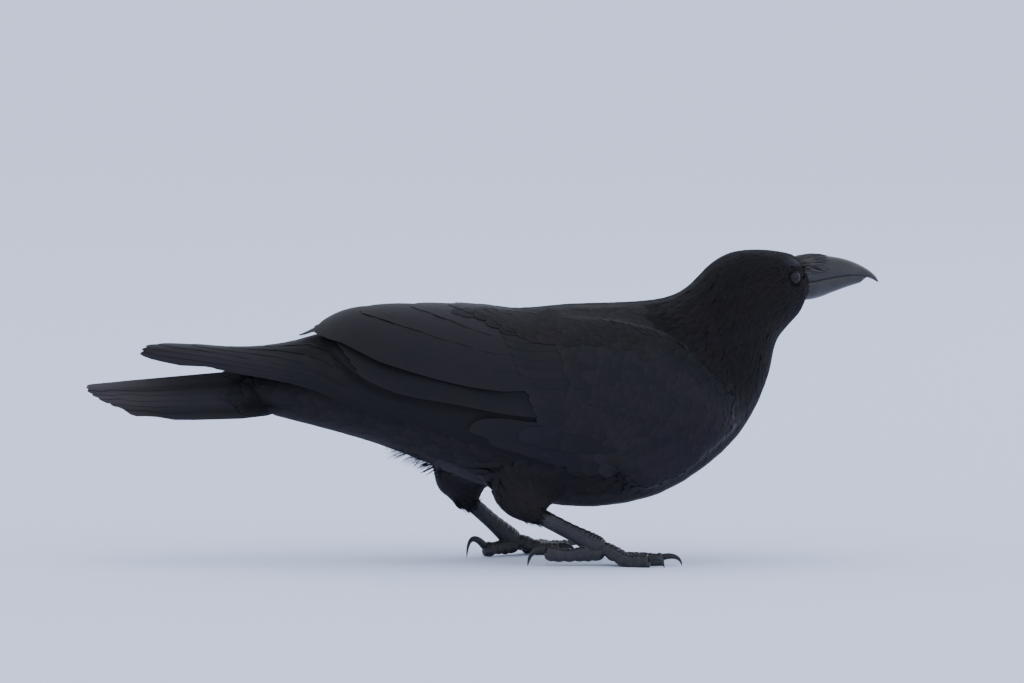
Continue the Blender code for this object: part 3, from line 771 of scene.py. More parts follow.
class Graph:
    """Adds nodes to a tree, with their settings and what feeds them."""

    def __init__(self, tree):
        self.tree = tree

    def feed(self, socket, value):
        """Links a socket to an output, or sets it to a plain value."""
        if isinstance(value, bpy.types.NodeSocket):
            self.tree.links.new(value, socket)
        else:
            socket.default_value = (*value, 1) if socket.type == "RGBA" else value

    def add(self, kind, feeds=None, **settings):
        node = self.tree.nodes.new(kind)
        for name, value in settings.items():
            setattr(node, name, value)
        for socket, value in (feeds or {}).items():
            self.feed(node.inputs[socket], value)
        return node

    def set(self, shader, **values):
        for name, value in values.items():
            self.feed(shader.inputs[name.replace("_", " ")], value)

    def math(self, operation, a, b=0.0):
        return self.add("ShaderNodeMath", {0: a, 1: b}, operation=operation).outputs[0]

    def times(self, a, b):
        return self.math("MULTIPLY", a, b)

    def plus(self, a, b):
        return self.math("ADD", a, b)

    def mix(self, share, a, b):
        return self.add("ShaderNodeMix", {0: share, 6: a, 7: b}, data_type="RGBA").outputs[2]

    def ramp(self, value, low, high):
        return self.add("ShaderNodeMapRange", {"Value": value, "From Min": low, "From Max": high}).outputs["Result"]

    def place(self, scale=None, rotation=(0, 0, 0)):
        """Where a point is on the object, stretched and turned if that is wanted."""
        spot = self.add("ShaderNodeTexCoord").outputs["Object"]
        if scale is None:
            return spot
        return self.add("ShaderNodeMapping", {"Vector": spot, "Scale": scale, "Rotation": rotation}).outputs[0]

    def noise(self, vector, scale, detail, roughness=0.5):
        return self.add("ShaderNodeTexNoise", {"Vector": vector, "Scale": scale, "Detail": detail,
                                               "Roughness": roughness}).outputs["Fac"]

    def cells(self, vector, scale):
        return self.add("ShaderNodeTexVoronoi", {"Vector": vector, "Scale": scale},
                        feature="DISTANCE_TO_EDGE").outputs["Distance"]

    def relief(self, height, strength, distance=0.0002):
        return self.add("ShaderNodeBump", {"Height": height, "Strength": strength,
                                           "Distance": distance}).outputs["Normal"]


def new_group(name, inputs, outputs):
    """An empty shader node group with these sockets."""
    tree = bpy.data.node_groups.new(name, "ShaderNodeTree")
    for title, kind, default in inputs:
        socket = tree.interface.new_socket(title, in_out="INPUT", socket_type=kind)
        if default is not None:
            socket.default_value = default
    for title, kind in outputs:
        tree.interface.new_socket(title, in_out="OUTPUT", socket_type=kind)
    graph = Graph(tree)
    return tree, graph, graph.add("NodeGroupInput"), graph.add("NodeGroupOutput")


def barb_group():
    """Fine slanting barbs on both sides of a shaft, from the feather's own map."""
    name = "Barb Lines"
    if name in bpy.data.node_groups:
        return bpy.data.node_groups[name]
    tree, graph, given, put = new_group(
        name,
        [("Vane", "NodeSocketVector", None), ("Pitch", "NodeSocketFloat", 0.6), ("Slant", "NodeSocketFloat", 1.0),
         ("Clumping", "NodeSocketFloat", 0.5)],
        [("Lines", "NodeSocketFloat"), ("Shaft", "NodeSocketFloat")],
    )
    x, y, _ = graph.add("ShaderNodeSeparateXYZ", {0: given.outputs["Vane"]}).outputs
    aside = graph.math("SUBTRACT", x, 0.5)
    off = graph.math("ABSOLUTE", aside)
    along = graph.math("SUBTRACT", y, graph.times(off, given.outputs["Slant"]))
    steps = graph.math("DIVIDE", graph.times(along, 100.0), given.outputs["Pitch"])
    lines = graph.math("SINE", graph.times(steps, 6.2832))
    spread = graph.add("ShaderNodeCombineXYZ", {0: graph.times(steps, 0.9), 1: graph.math("SIGN", aside)}).outputs[0]
    clumps = graph.times(graph.noise(spread, 0.55, 2.0), given.outputs["Clumping"])
    graph.feed(put.inputs["Lines"], graph.plus(graph.times(lines, 0.5), clumps))
    graph.feed(put.inputs["Shaft"], graph.ramp(off, 0.0035, 0.0015))
    return tree


def tone_group():
    """Blue, violet and brown drifting over black, with a tone of its own for each feather, which also carries painted
    light and shade and, when high, a painted sheen.
    """
    name = "Plume Tones"
    if name in bpy.data.node_groups:
        return bpy.data.node_groups[name]
    tree, graph, given, put = new_group(
        name,
        [("Place", "NodeSocketVector", None), ("Tone", "NodeSocketFloat", 0.5),
         ("Blue", "NodeSocketColor", (0.01, 0.012, 0.02, 1)), ("Violet", "NodeSocketColor", (0.014, 0.01, 0.018, 1)),
         ("Brown", "NodeSocketColor", (0.016, 0.013, 0.012, 1)), ("Patches", "NodeSocketFloat", 55.0),
         ("Spread", "NodeSocketFloat", 0.6)],
        [("Color", "NodeSocketColor"), ("Wear", "NodeSocketFloat")],
    )
    place, tone, blue, violet, brown, patches, spread = given.outputs[:7]
    drift, wear = graph.noise(place, patches, 3.0, 0.55), graph.noise(place, 23.0, 2.0)
    own = graph.math("SUBTRACT", graph.math("MINIMUM", graph.math("MAXIMUM", tone, 0.0), 1.0), 0.5)
    hue = graph.plus(drift, graph.times(own, 0.25))
    colour = graph.mix(graph.ramp(hue, 0.42, 0.6), blue, violet)
    colour = graph.mix(graph.times(graph.ramp(wear, 0.5, 0.72), 0.8), colour, brown)
    # Painted sheen: a high tone draws the colour towards a paler blue.
    painted_sheen = graph.add("ShaderNodeVectorMath", {0: blue, 1: (0.93, 1.0, 1.14)}, operation="MULTIPLY").outputs[0]
    colour = graph.mix(graph.ramp(tone, 1.3, 3.0), colour, painted_sheen)
    level = graph.plus(1.0, graph.times(graph.math("SUBTRACT", tone, 0.5), spread))
    level = graph.math("MAXIMUM", level, 0.2)
    scaled = graph.add("ShaderNodeVectorMath", {0: colour, "Scale": level}, operation="SCALE").outputs[0]
    graph.feed(put.inputs["Color"], scaled)
    graph.feed(put.inputs["Wear"], wear)
    return tree


def finish(build):
    """Lets a function that adds nodes to a new material be called with the material's name, and only builds once.

    The CAD nodes bring materials of their own, so a name isn't enough to tell that a material was made here.
    """
    made = {}

    def give(name, *values, **more):
        if made.get(name, "") not in bpy.data.materials:
            material = bpy.data.materials.new(name)
            material.use_nodes = True
            build(Graph(material.node_tree), material.node_tree.nodes["Principled BSDF"], *values, **more)
            made[name] = material.name
        return bpy.data.materials[made[name]]

    return give


def tinted(colour, scale):
    return tuple(scale * value for value in colour)


def plumage_colours(settings, scale=1.0):
    return [tinted(colour, scale) for colour in (settings.blue, settings.violet, settings.brown)]


@finish
def plume_material(graph, shader, colours, roughness=0.6, specular=0.165, pitch=0.7, bump=0.2, spread=0.35,
                   edge=0.12):
    """Feather finish: barb lines and shaft in the bump, drifting tones, paler worn margins."""
    blue, violet, brown = colours
    tone, along = (graph.add("ShaderNodeAttribute", attribute_name=name).outputs["Fac"] for name in ("tone", "along"))
    vane = graph.add("ShaderNodeUVMap", uv_map="Vane").outputs["UV"]
    tones, wear = graph.add("ShaderNodeGroup", {"Place": graph.place(), "Tone": tone, "Blue": blue, "Violet": violet,
                                                "Brown": brown, "Spread": spread}, node_tree=tone_group()).outputs
    lines, shaft = graph.add("ShaderNodeGroup", {"Vane": vane, "Pitch": pitch}, node_tree=barb_group()).outputs
    colour = graph.mix(graph.times(graph.ramp(along, 0.8, 1.0), edge), tones, tinted(brown, 3.2))
    colour = graph.mix(graph.times(lines, 0.22), colour, tinted(blue, 0.4))
    rough = graph.math("SUBTRACT", roughness + 0.03, graph.times(graph.math("MINIMUM", tone, 2.0), 0.06))
    graph.set(shader, Base_Color=colour, Roughness=graph.plus(rough, graph.times(wear, 0.08)),
              Normal=graph.relief(graph.plus(lines, graph.times(shaft, 1.6)), bump), Specular_IOR_Level=specular,
              Specular_Tint=(0.98, 0.93, 0.96))


def body_plume(settings):
    return plume_material("body plume", plumage_colours(settings), 0.64, 0.155, 0.9, bump=0.22, spread=0.36)


# ---------------------------------------------------------------- settings


def colour_setting(name, description, default):
    return FloatVectorProperty(name=name, description=description, default=default, subtype="COLOR", size=3,
                               min=0, max=1)


def size_setting(name, description, default, low=0.0, high=1.0):
    return FloatProperty(name=name, description=description, default=default, min=low, max=high, unit="LENGTH",
                         precision=4)


class CrowStageSettings(bpy.types.PropertyGroup):
    floor_colour: colour_setting("Floor colour", "Colour of the plain floor", (0.77, 0.825, 1.0))
    sky_colour: colour_setting("Sky colour", "Colour of the soft light from all round", (0.77, 0.84, 1.0))
    sky_strength: FloatProperty(name="Sky strength", description="Strength of the light from all round", default=1.46,
                                min=0, max=10)
    lamp_power: FloatProperty(name="Lamp power", description="Power of the soft lamp overhead", default=12,
                              min=0, max=5000, unit="POWER")
    fill_power: FloatProperty(name="Fill power", description="Power of the soft lamp at the front", default=16,
                              min=0, max=5000, unit="POWER")
    rim_power: FloatProperty(name="Rim power", description="Power of the soft lamp behind", default=12, min=0,
                             max=5000, unit="POWER")
    distance: size_setting("Camera distance", "How far the camera stands from the crow", 8.0, 1, 50)
    view_width: size_setting("View width", "Width of what the camera sees at the crow", 0.5632, 0.05, 10)
    elevation: FloatProperty(name="Camera elevation", description="How far the camera looks down",
                             default=math.radians(3.5), subtype="ANGLE", min=0, max=1.5)


class CrowSkinSettings(bpy.types.PropertyGroup):
    colour: colour_setting("Skin colour", "Colour of the bare skin", (0.0075, 0.007, 0.008))
    coat_depth: size_setting("Coat depth", "How far the skin lies under the coat on the body", 0.002, 0.0005, 0.01)
    head_depth: size_setting("Head coat depth", "How far the skin lies under the coat on the face", 0.0009, 0.0002,
                             0.005)


class CrowHeadSettings(bpy.types.PropertyGroup):
    iris_colour: colour_setting("Iris colour", "Colour of the iris", (0.011, 0.008, 0.007))
    bill_colour: colour_setting("Bill colour", "Colour of the horn of the bill", (0.0176, 0.0170, 0.0176))
    bristle_colour: colour_setting("Bristle colour", "Colour of the bristles over the nostrils", (0.054, 0.049, 0.050))
    bristles: IntProperty(name="Bristles", description="How many bristles lie over the bill's base", default=520,
                          min=10, max=3000)


class CrowPlumageSettings(bpy.types.PropertyGroup):
    seed: IntProperty(name="Seed", description="Changes how the feathers are scattered", default=7, min=0)
    density: FloatProperty(name="Density", description="How closely body feathers are set; 1 is natural", default=1.0,
                           min=0.3, max=2)
    blue: colour_setting("Blue-black", "The plumage's bluest black", (0.0096, 0.0088, 0.0103))
    violet: colour_setting("Violet-black", "The plumage's most violet black", (0.0114, 0.0088, 0.0106))
    brown: colour_setting("Brown-black", "The plumage's brownest black", (0.0124, 0.0101, 0.0092))


class CrowWingSettings(bpy.types.PropertyGroup):
    blue: colour_setting("Blue sheen", "Bluest colour of the wing", (0.0083, 0.0084, 0.0108))
    violet: colour_setting("Violet sheen", "Most violet colour of the wing", (0.0110, 0.0085, 0.0112))
    brown: colour_setting("Worn brown", "Colour where the wing is worn", (0.0114, 0.0100, 0.0095))
    step: size_setting("Feather step", "How far one wing feather stands over the next", 0.0006, 0.0001, 0.003)


class CrowLegSettings(bpy.types.PropertyGroup):
    colour: colour_setting("Leg colour", "Colour of the scaled skin", (0.0088, 0.0076, 0.0090))
    claw_colour: colour_setting("Claw colour", "Colour of the claws", (0.012, 0.012, 0.014))
    scute: size_setting("Scute length", "Length of one plate on the front of the shank", 0.0034, 0.001, 0.01)


# ---------------------------------------------------------------- stage


@finish
def floor_material(graph, shader, colour):
    graph.set(shader, Base_Color=colour, Roughness=0.9, Specular_IOR_Level=0.1)


class CROW_OT_stage(bpy.types.Operator):
    """Sets up the floor, the soft light and the camera"""

    bl_idname = "crow.stage"
    bl_label = "Stage"

    def execute(self, context):
        settings = context.scene.crow_stage
        bm = bmesh.new()
        bmesh.ops.create_grid(bm, x_segments=1, y_segments=1, size=60)
        floor = self.placed("floor", to_mesh(bm, "floor"))
        floor.data.materials.append(floor_material("floor", tuple(settings.floor_colour)))
        floor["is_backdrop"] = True

        world = context.scene.world or bpy.data.worlds.new("sky")
        context.scene.world = world
        world.use_nodes = True
        sky = world.node_tree.nodes.get("Background") or world.node_tree.nodes.new("ShaderNodeBackground")
        sky.inputs["Color"].default_value = (*settings.sky_colour, 1)
        sky.inputs["Strength"].default_value = settings.sky_strength

        low, high = (Vector(corner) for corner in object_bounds())
        middle = (low + high) / 2
        for name, place, size, power in (
            ("lamp_behind", Vector((2.2, 2.6, 0.9)), 1.6, settings.rim_power),
            ("lamp_over", Vector((-0.8, 0.2, 3.2)), 3.4, settings.lamp_power),
            ("lamp_front", Vector((3.1, -1.7, 1.1)), 1.5, settings.fill_power),
        ):
            data = bpy.data.lights.new(name, "AREA")
            data.shape = "DISK"
            data.size = size
            data.energy = power
            data.color = (0.93, 0.94, 1.0)
            self.placed(name, data, place, middle - place)

        aim = TO_FRAME @ Vector((17.6, 0, 120.95))
        away = Vector((0, -math.cos(settings.elevation), math.sin(settings.elevation)))
        data = bpy.data.cameras.new("camera")
        data.sensor_width = 36
        data.lens = 36 * settings.distance / settings.view_width
        data.clip_start, data.clip_end = 0.05, 200
        context.scene.camera = self.placed("camera", data, aim + away * settings.distance, -away)
        return {"FINISHED"}

    @staticmethod
    def placed(name, data, place=None, look=None):
        """An object in the scene, at a place and looking along a way if they are given."""
        obj = bpy.data.objects.new(name, data)
        bpy.context.scene.collection.objects.link(obj)
        if place:
            obj.location = place
            obj.rotation_euler = look.to_track_quat("-Z", "Y").to_euler()
        return obj


# ---------------------------------------------------------------- skin, eyes


@finish
def skin_material(graph, shader, dark):
    """Bare skin, finely creased and mottled."""
    place = graph.place()
    colour = graph.mix(graph.ramp(graph.noise(place, 140.0, 4.0), 0.35, 0.7), dark, tinted(dark, 2.1))
    graph.set(shader, Base_Color=colour, Normal=graph.relief(graph.cells(place, 900.0), 0.5), Roughness=0.8,
              Specular_IOR_Level=0.1)


@finish
def down_material(graph, shader):
    """The dark down and quills inside a wing."""
    strands = graph.noise(graph.place((0.15, 1, 1)), 900.0, 3.0)
    graph.set(shader, Base_Color=graph.mix(strands, (0.0055, 0.0052, 0.0065), (0.011, 0.0105, 0.013)),
              Normal=graph.relief(strands, 0.5, 0.0003), Roughness=0.8, Specular_IOR_Level=0.1)


@finish
def eye_material(graph, shader, brown):
    """A dark pupil, a rayed iris and a dark rim round it."""
    x, y, _ = graph.add("ShaderNodeSeparateXYZ", {0: graph.add("ShaderNodeUVMap", uv_map="Iris").outputs["UV"]}).outputs
    x, y = graph.math("SUBTRACT", x, 0.5), graph.math("SUBTRACT", y, 0.5)
    away = graph.math("SQRT", graph.plus(graph.times(x, x), graph.times(y, y)))
    spokes = {0: graph.times(graph.math("ARCTAN2", y, x), 3.0), 1: graph.times(away, 6.0)}
    rays = graph.noise(graph.add("ShaderNodeCombineXYZ", spokes).outputs[0], 3.0, 4.0)
    iris = graph.mix(rays, brown, tinted(brown, 0.35))
    colour = graph.mix(graph.ramp(away, 0.085, 0.095), (0.0015, 0.0015, 0.0015), iris)
    colour = graph.mix(graph.ramp(away, 0.165, 0.185), colour, (0.004, 0.0035, 0.0035))
    graph.set(shader, Base_Color=colour, Roughness=0.5, Coat_Weight=0.22, Coat_Roughness=0.16,
              Specular_IOR_Level=0.12)


class CROW_OT_skin(bpy.types.Operator):
    """Makes the one skin under the feathers of head, neck, trunk and thighs"""

    bl_idname = "crow.skin"
    bl_label = "Skin"

    def execute(self, context):
        settings = context.scene.crow_skin
        bm = coat_surface()
        bm.normal_update()
        offsets = []
        for vert in bm.verts:
            station, _, _ = SPINE.read(vert.co)
            share = eased(10, 15.5, station)
            depth = (settings.coat_depth * (1 - share) + settings.head_depth * share) / MM
            depth -= 1.1 * eased(0, 0.2, shin_line(vert.co)[0])
            offsets.append(vert.normal * depth)
        for vert, offset in zip(bm.verts, offsets):
            vert.co -= offset
        evened(bm)
        make_piece("skin", bm, skin_material("bare skin", tuple(settings.colour)), FLESH)
        return {"FINISHED"}


class CROW_OT_eyes(bpy.types.Operator):
    """Makes both eyes, each with its clear dome, dark iris and ring of lid"""

    bl_idname = "crow.eyes"
    bl_label = "Eyes"

    def execute(self, context):
        material = eye_material("eye", tuple(context.scene.crow_head.iris_colour))
        skin = skin_material("bare skin", tuple(context.scene.crow_skin.colour))
        for name, centre in EYES.items():
            turn = eye_axis(name).to_track_quat("Z", "X").to_matrix()

            def dome(u, v, centre=centre, turn=turn):
                rise = math.pi * v
                radius = EYE_RADIUS * (1 + 0.09 * eased(0.72, 1, math.cos(rise)))
                ring = math.sin(rise) * radius
                return centre + turn @ Vector((ring * math.cos(2 * math.pi * u), ring * math.sin(2 * math.pi * u),
                                               math.cos(rise) * radius))

            bm = rolled(48, 40, dome)
            layer = bm.loops.layers.uv.new("Iris")
            back = turn.transposed()
            for face in bm.faces:
                for loop in face.loops:
                    local = (back @ (loop.vert.co - centre)).normalized()
                    loop[layer].uv = (0.5 + 0.3 * local.x, 0.5 + 0.3 * local.y) if local.z > 0 else (0.02, 0.02)
            make_piece("eyeball_" + name, bm, material, ("eye_" + name,))
            make_piece("lid_" + name, self.lid(centre, turn), skin)
        return {"FINISHED"}

    @staticmethod
    def lid(centre, turn):
        """Both eyelids as one rim round the eye's opening, which is wider than it is high."""
        level = turn.transposed() @ Vector((0, 0, 1))
        upright = math.atan2(level.y, level.x)

        def place(u, v):
            around, way = 2 * math.pi * u, 2 * math.pi * v
            tall = math.cos(around - upright)
            opening = math.radians(34.5 - 6 * tall * tall - (3 if tall > 0 else 0) * tall * tall)
            spread = (math.radians(80) - opening) / 2
            polar = opening + spread - spread * math.cos(way)
            rim = math.exp(-((polar - opening) / 0.09) ** 2)
            bead = 1 + 0.12 * math.sin(around * 23) * rim
            outside = math.sin(way) > 0
            radius = EYE_RADIUS + (0.15 + 0.35 * rim * bead if outside else -0.5)
            radius += 0.2 * rim * (1 if outside else -1) * abs(math.sin(way))
            return centre + turn @ Vector((math.sin(polar) * math.cos(around), math.sin(polar) * math.sin(around),
                                           math.cos(polar))) * radius

        return rolled(72, 32, place)


# ---------------------------------------------------------------- bill


@finish
def horn_material(graph, shader, colour, roughness, pale):
    """Horn with a fine grain along the bill, worn pale in places."""
    grain = graph.noise(graph.place((0.35, 1, 1.6), (0, 0.12, -HEAD_TURN)), 620.0, 5.0, 0.6)
    worn = graph.ramp(graph.noise(graph.place(), 110.0, 3.0), 0.45, 0.75)
    base = graph.mix(graph.times(worn, pale), colour, tinted(colour, 2.4))
    base = graph.mix(graph.times(graph.ramp(grain, 0.4, 0.75), 0.4), base, tinted(colour, 0.5))
    graph.set(shader, Base_Color=base, Roughness=graph.plus(roughness, graph.times(grain, 0.18)),
              Normal=graph.relief(grain, 0.35), Specular_IOR_Level=0.34, Specular_Tint=(1, 0.95, 0.9))


def jaw(upper, u, v):
    """A point of one jaw: share round its section and share along it."""
    last = max(BILL) if upper else LOWER_BILL_END
    x = 172 + (last - 172) * (1 - (1 - v) ** 1.35)
    culmen, mouth, gonys, width = at(BILL, x)
    across, outer = math.cos(2 * math.pi * u), math.sin(2 * math.pi * u)
    inward = 1 - abs(across)
    if not upper:
        closing = eased(0, 7, last - x) ** 0.5
        width = (width * 0.975 - 0.05) * closing
        z = mouth - 0.03 - ((mouth - gonys) * closing - 0.03) * max(0.0, -outer) ** 0.8
    elif outer < 0:
        z = mouth + 0.03 + 0.55 * min(1, -outer * 3) * inward**0.5
    else:
        z = mouth + 0.03 + (culmen - mouth - 0.03) * outer**0.82 + 0.175 * inward**1.4
    return turned(Vector((x, -width * rounded(across, 0.86), z)))


class CROW_OT_bill(bpy.types.Operator):
    """Makes the upper and lower jaw of the bill"""

    bl_idname = "crow.bill"
    bl_label = "Bill"

    def execute(self, context):
        settings = context.scene.crow_head
        material = horn_material("bill horn", tuple(settings.bill_colour), 0.3, 0.5)
        for name, upper in (("upper", True), ("lower", False)):
            bm = rolled(40, 64, lambda u, v, upper=upper: jaw(upper, u, v))
            make_piece("jaw_" + name, bm, material, ("bill_" + name,))
        return {"FINISHED"}


class CROW_OT_bristles(bpy.types.Operator):
    """Lays the bristles forward over the base of the bill and its nostrils"""

    bl_idname = "crow.bristles"
    bl_label = "Bristles"

    def execute(self, context):
        settings = context.scene.crow_head
        chance = random.Random(11)
        ground = Ground(rolled(48, 30, self.pad))
        coat = Coat(HAIR)
        ahead = head_turn() @ Vector((1, 0, 0))
        for _ in range(settings.bristles):
            angle = math.radians(chance.uniform(-88, 88))
            x = chance.uniform(177, 190)
            culmen, mouth, _, half = at(BILL, x)
            middle = mouth + 1.5
            root = turned(Vector((x, half * math.sin(angle), middle + (culmen - middle) * math.cos(angle))))
            length = chance.uniform(8, 14) * (1 - 0.35 * abs(angle) / 1.55)
            heading = (ahead + Vector((0, 0, -0.25 * abs(math.sin(angle)) + chance.uniform(-0.1, 0.1)))).normalized()
            coat.lay(ground, root, heading, length, (0.3, 0.3), (0.9 * chance.random(), 0.9 * chance.random()),
                     chance.random(), depth=0.4, tip=chance.uniform(0.1, 0.7), thick=0.3, hug=False)
        colours = [tinted(settings.bristle_colour, scale) for scale in (0.6, 0.8, 1)]
        material = plume_material("bristle", colours, 0.6, 0.3, 0.8, spread=1.2, edge=0.25)
        coat.build("nasal_bristles", material, "plumage", ("bristles",))
        return {"FINISHED"}

    @staticmethod
    def pad(u, v):
        x = 174 + 32 * v
        culmen, mouth, _, half = at(BILL, x)
        rise = 1.1 * (1 - eased(0.5, 1, v)) + 0.1
        angle = 2 * math.pi * u
        middle = (culmen + mouth + 2) / 2
        return turned(Vector((x, (half + rise) * rounded(math.sin(angle), 0.9),
                              middle + ((culmen - mouth - 2) / 2 + rise) * math.cos(angle))))


# ---------------------------------------------------------------- body feathers


def scattered(ground, spacing, chance, wanted):
    """Points over the ground, spacing(point) apart, in random order."""
    points = np.array(ground.points)
    corners = np.array([c[:3] for c in ground.corners] + [[c[0], c[2], c[3]] for c in ground.corners if len(c) == 4])
    a, b, c = (points[corners[:, k]] for k in range(3))
    area = np.linalg.norm(np.cross(b - a, c - a), axis=1) / 2
    gaps = np.array([spacing(Vector(middle)) for middle in (a + b + c) / 3])
    share = np.where(gaps > 0, area / np.maximum(gaps, 0.1) ** 2, 0)
    state = np.random.RandomState(chance.randrange(1 << 30))
    count = int(share.sum() * wanted)
    picks = state.choice(len(area), size=count, p=share / share.sum())
    s, t = state.rand(count), state.rand(count)
    flip = s + t > 1
    s[flip], t[flip] = 1 - s[flip], 1 - t[flip]
    spots = a[picks] + (b[picks] - a[picks]) * s[:, None] + (c[picks] - a[picks]) * t[:, None]
    cell, taken, kept = 2.0, {}, []
    for spot, gap in zip(spots.tolist(), gaps[picks]):
        x, y, z = (int(v // cell) for v in spot)
        reach = math.ceil(gap / cell)
        near = (other for i, j, k in product(range(-reach, reach + 1), repeat=3)
                for other in taken.get((x + i, y + j, z + k), ()))
        if all(sum((p - q) ** 2 for p, q in zip(spot, other)) >= gap * gap for other in near):
            taken.setdefault((x, y, z), []).append(spot)
            kept.append(Vector(spot))
    return kept


def shin_line(point):
    """How much a point belongs to a thigh, from 0 to 1, and the way its feathers lie there."""
    best = (0.0, None)
    for name, leg in LEGS.items():
        heel, foot = Vector(leg["heel"]), Vector(leg["foot"])
        hip = Vector((24, -20, 74)) if name == "right" else Vector((-8, 17, 76))
        knee, mark = heel.lerp(foot, 0.3), heel.lerp(foot, 0.75)
        way = knee - hip
        t = max(0, min(1, (point - hip).dot(way) / way.length_squared))
        off = (point - hip - way * t).length
        count = eased(0.2, 0.55, t) * (1 - eased(17, 24, off))
        if count > best[0]:
            best = (count, (mark - point).normalized())
    return best


def lie_at(point):
    """Station, angle from the back, the way the feathers lie, and how much the point belongs to a thigh."""
    station, angle, lie = SPINE.read(point)
    down, way = shin_line(point)
    if way is not None:
        lie = (lie * (1 - down) + way * down).normalized()
    return station, angle, lie, down


def in_eye(point):
    """Whether the point lies in the opening of an eye."""
    return any((point - centre).length < EYE_RADIUS + 4
               and (point - centre).normalized().dot(eye_axis(name)) > math.cos(math.radians(36.5))
               for name, centre in EYES.items())


def body_place(point):
    """Spot on the bake's map for a root on the body."""
    station, angle, _ = SPINE.read(point)
    return (0.005 + 0.98 * station / (len(STATIONS) - 1), 0.005 + 0.97 * (angle + 180) / 360)


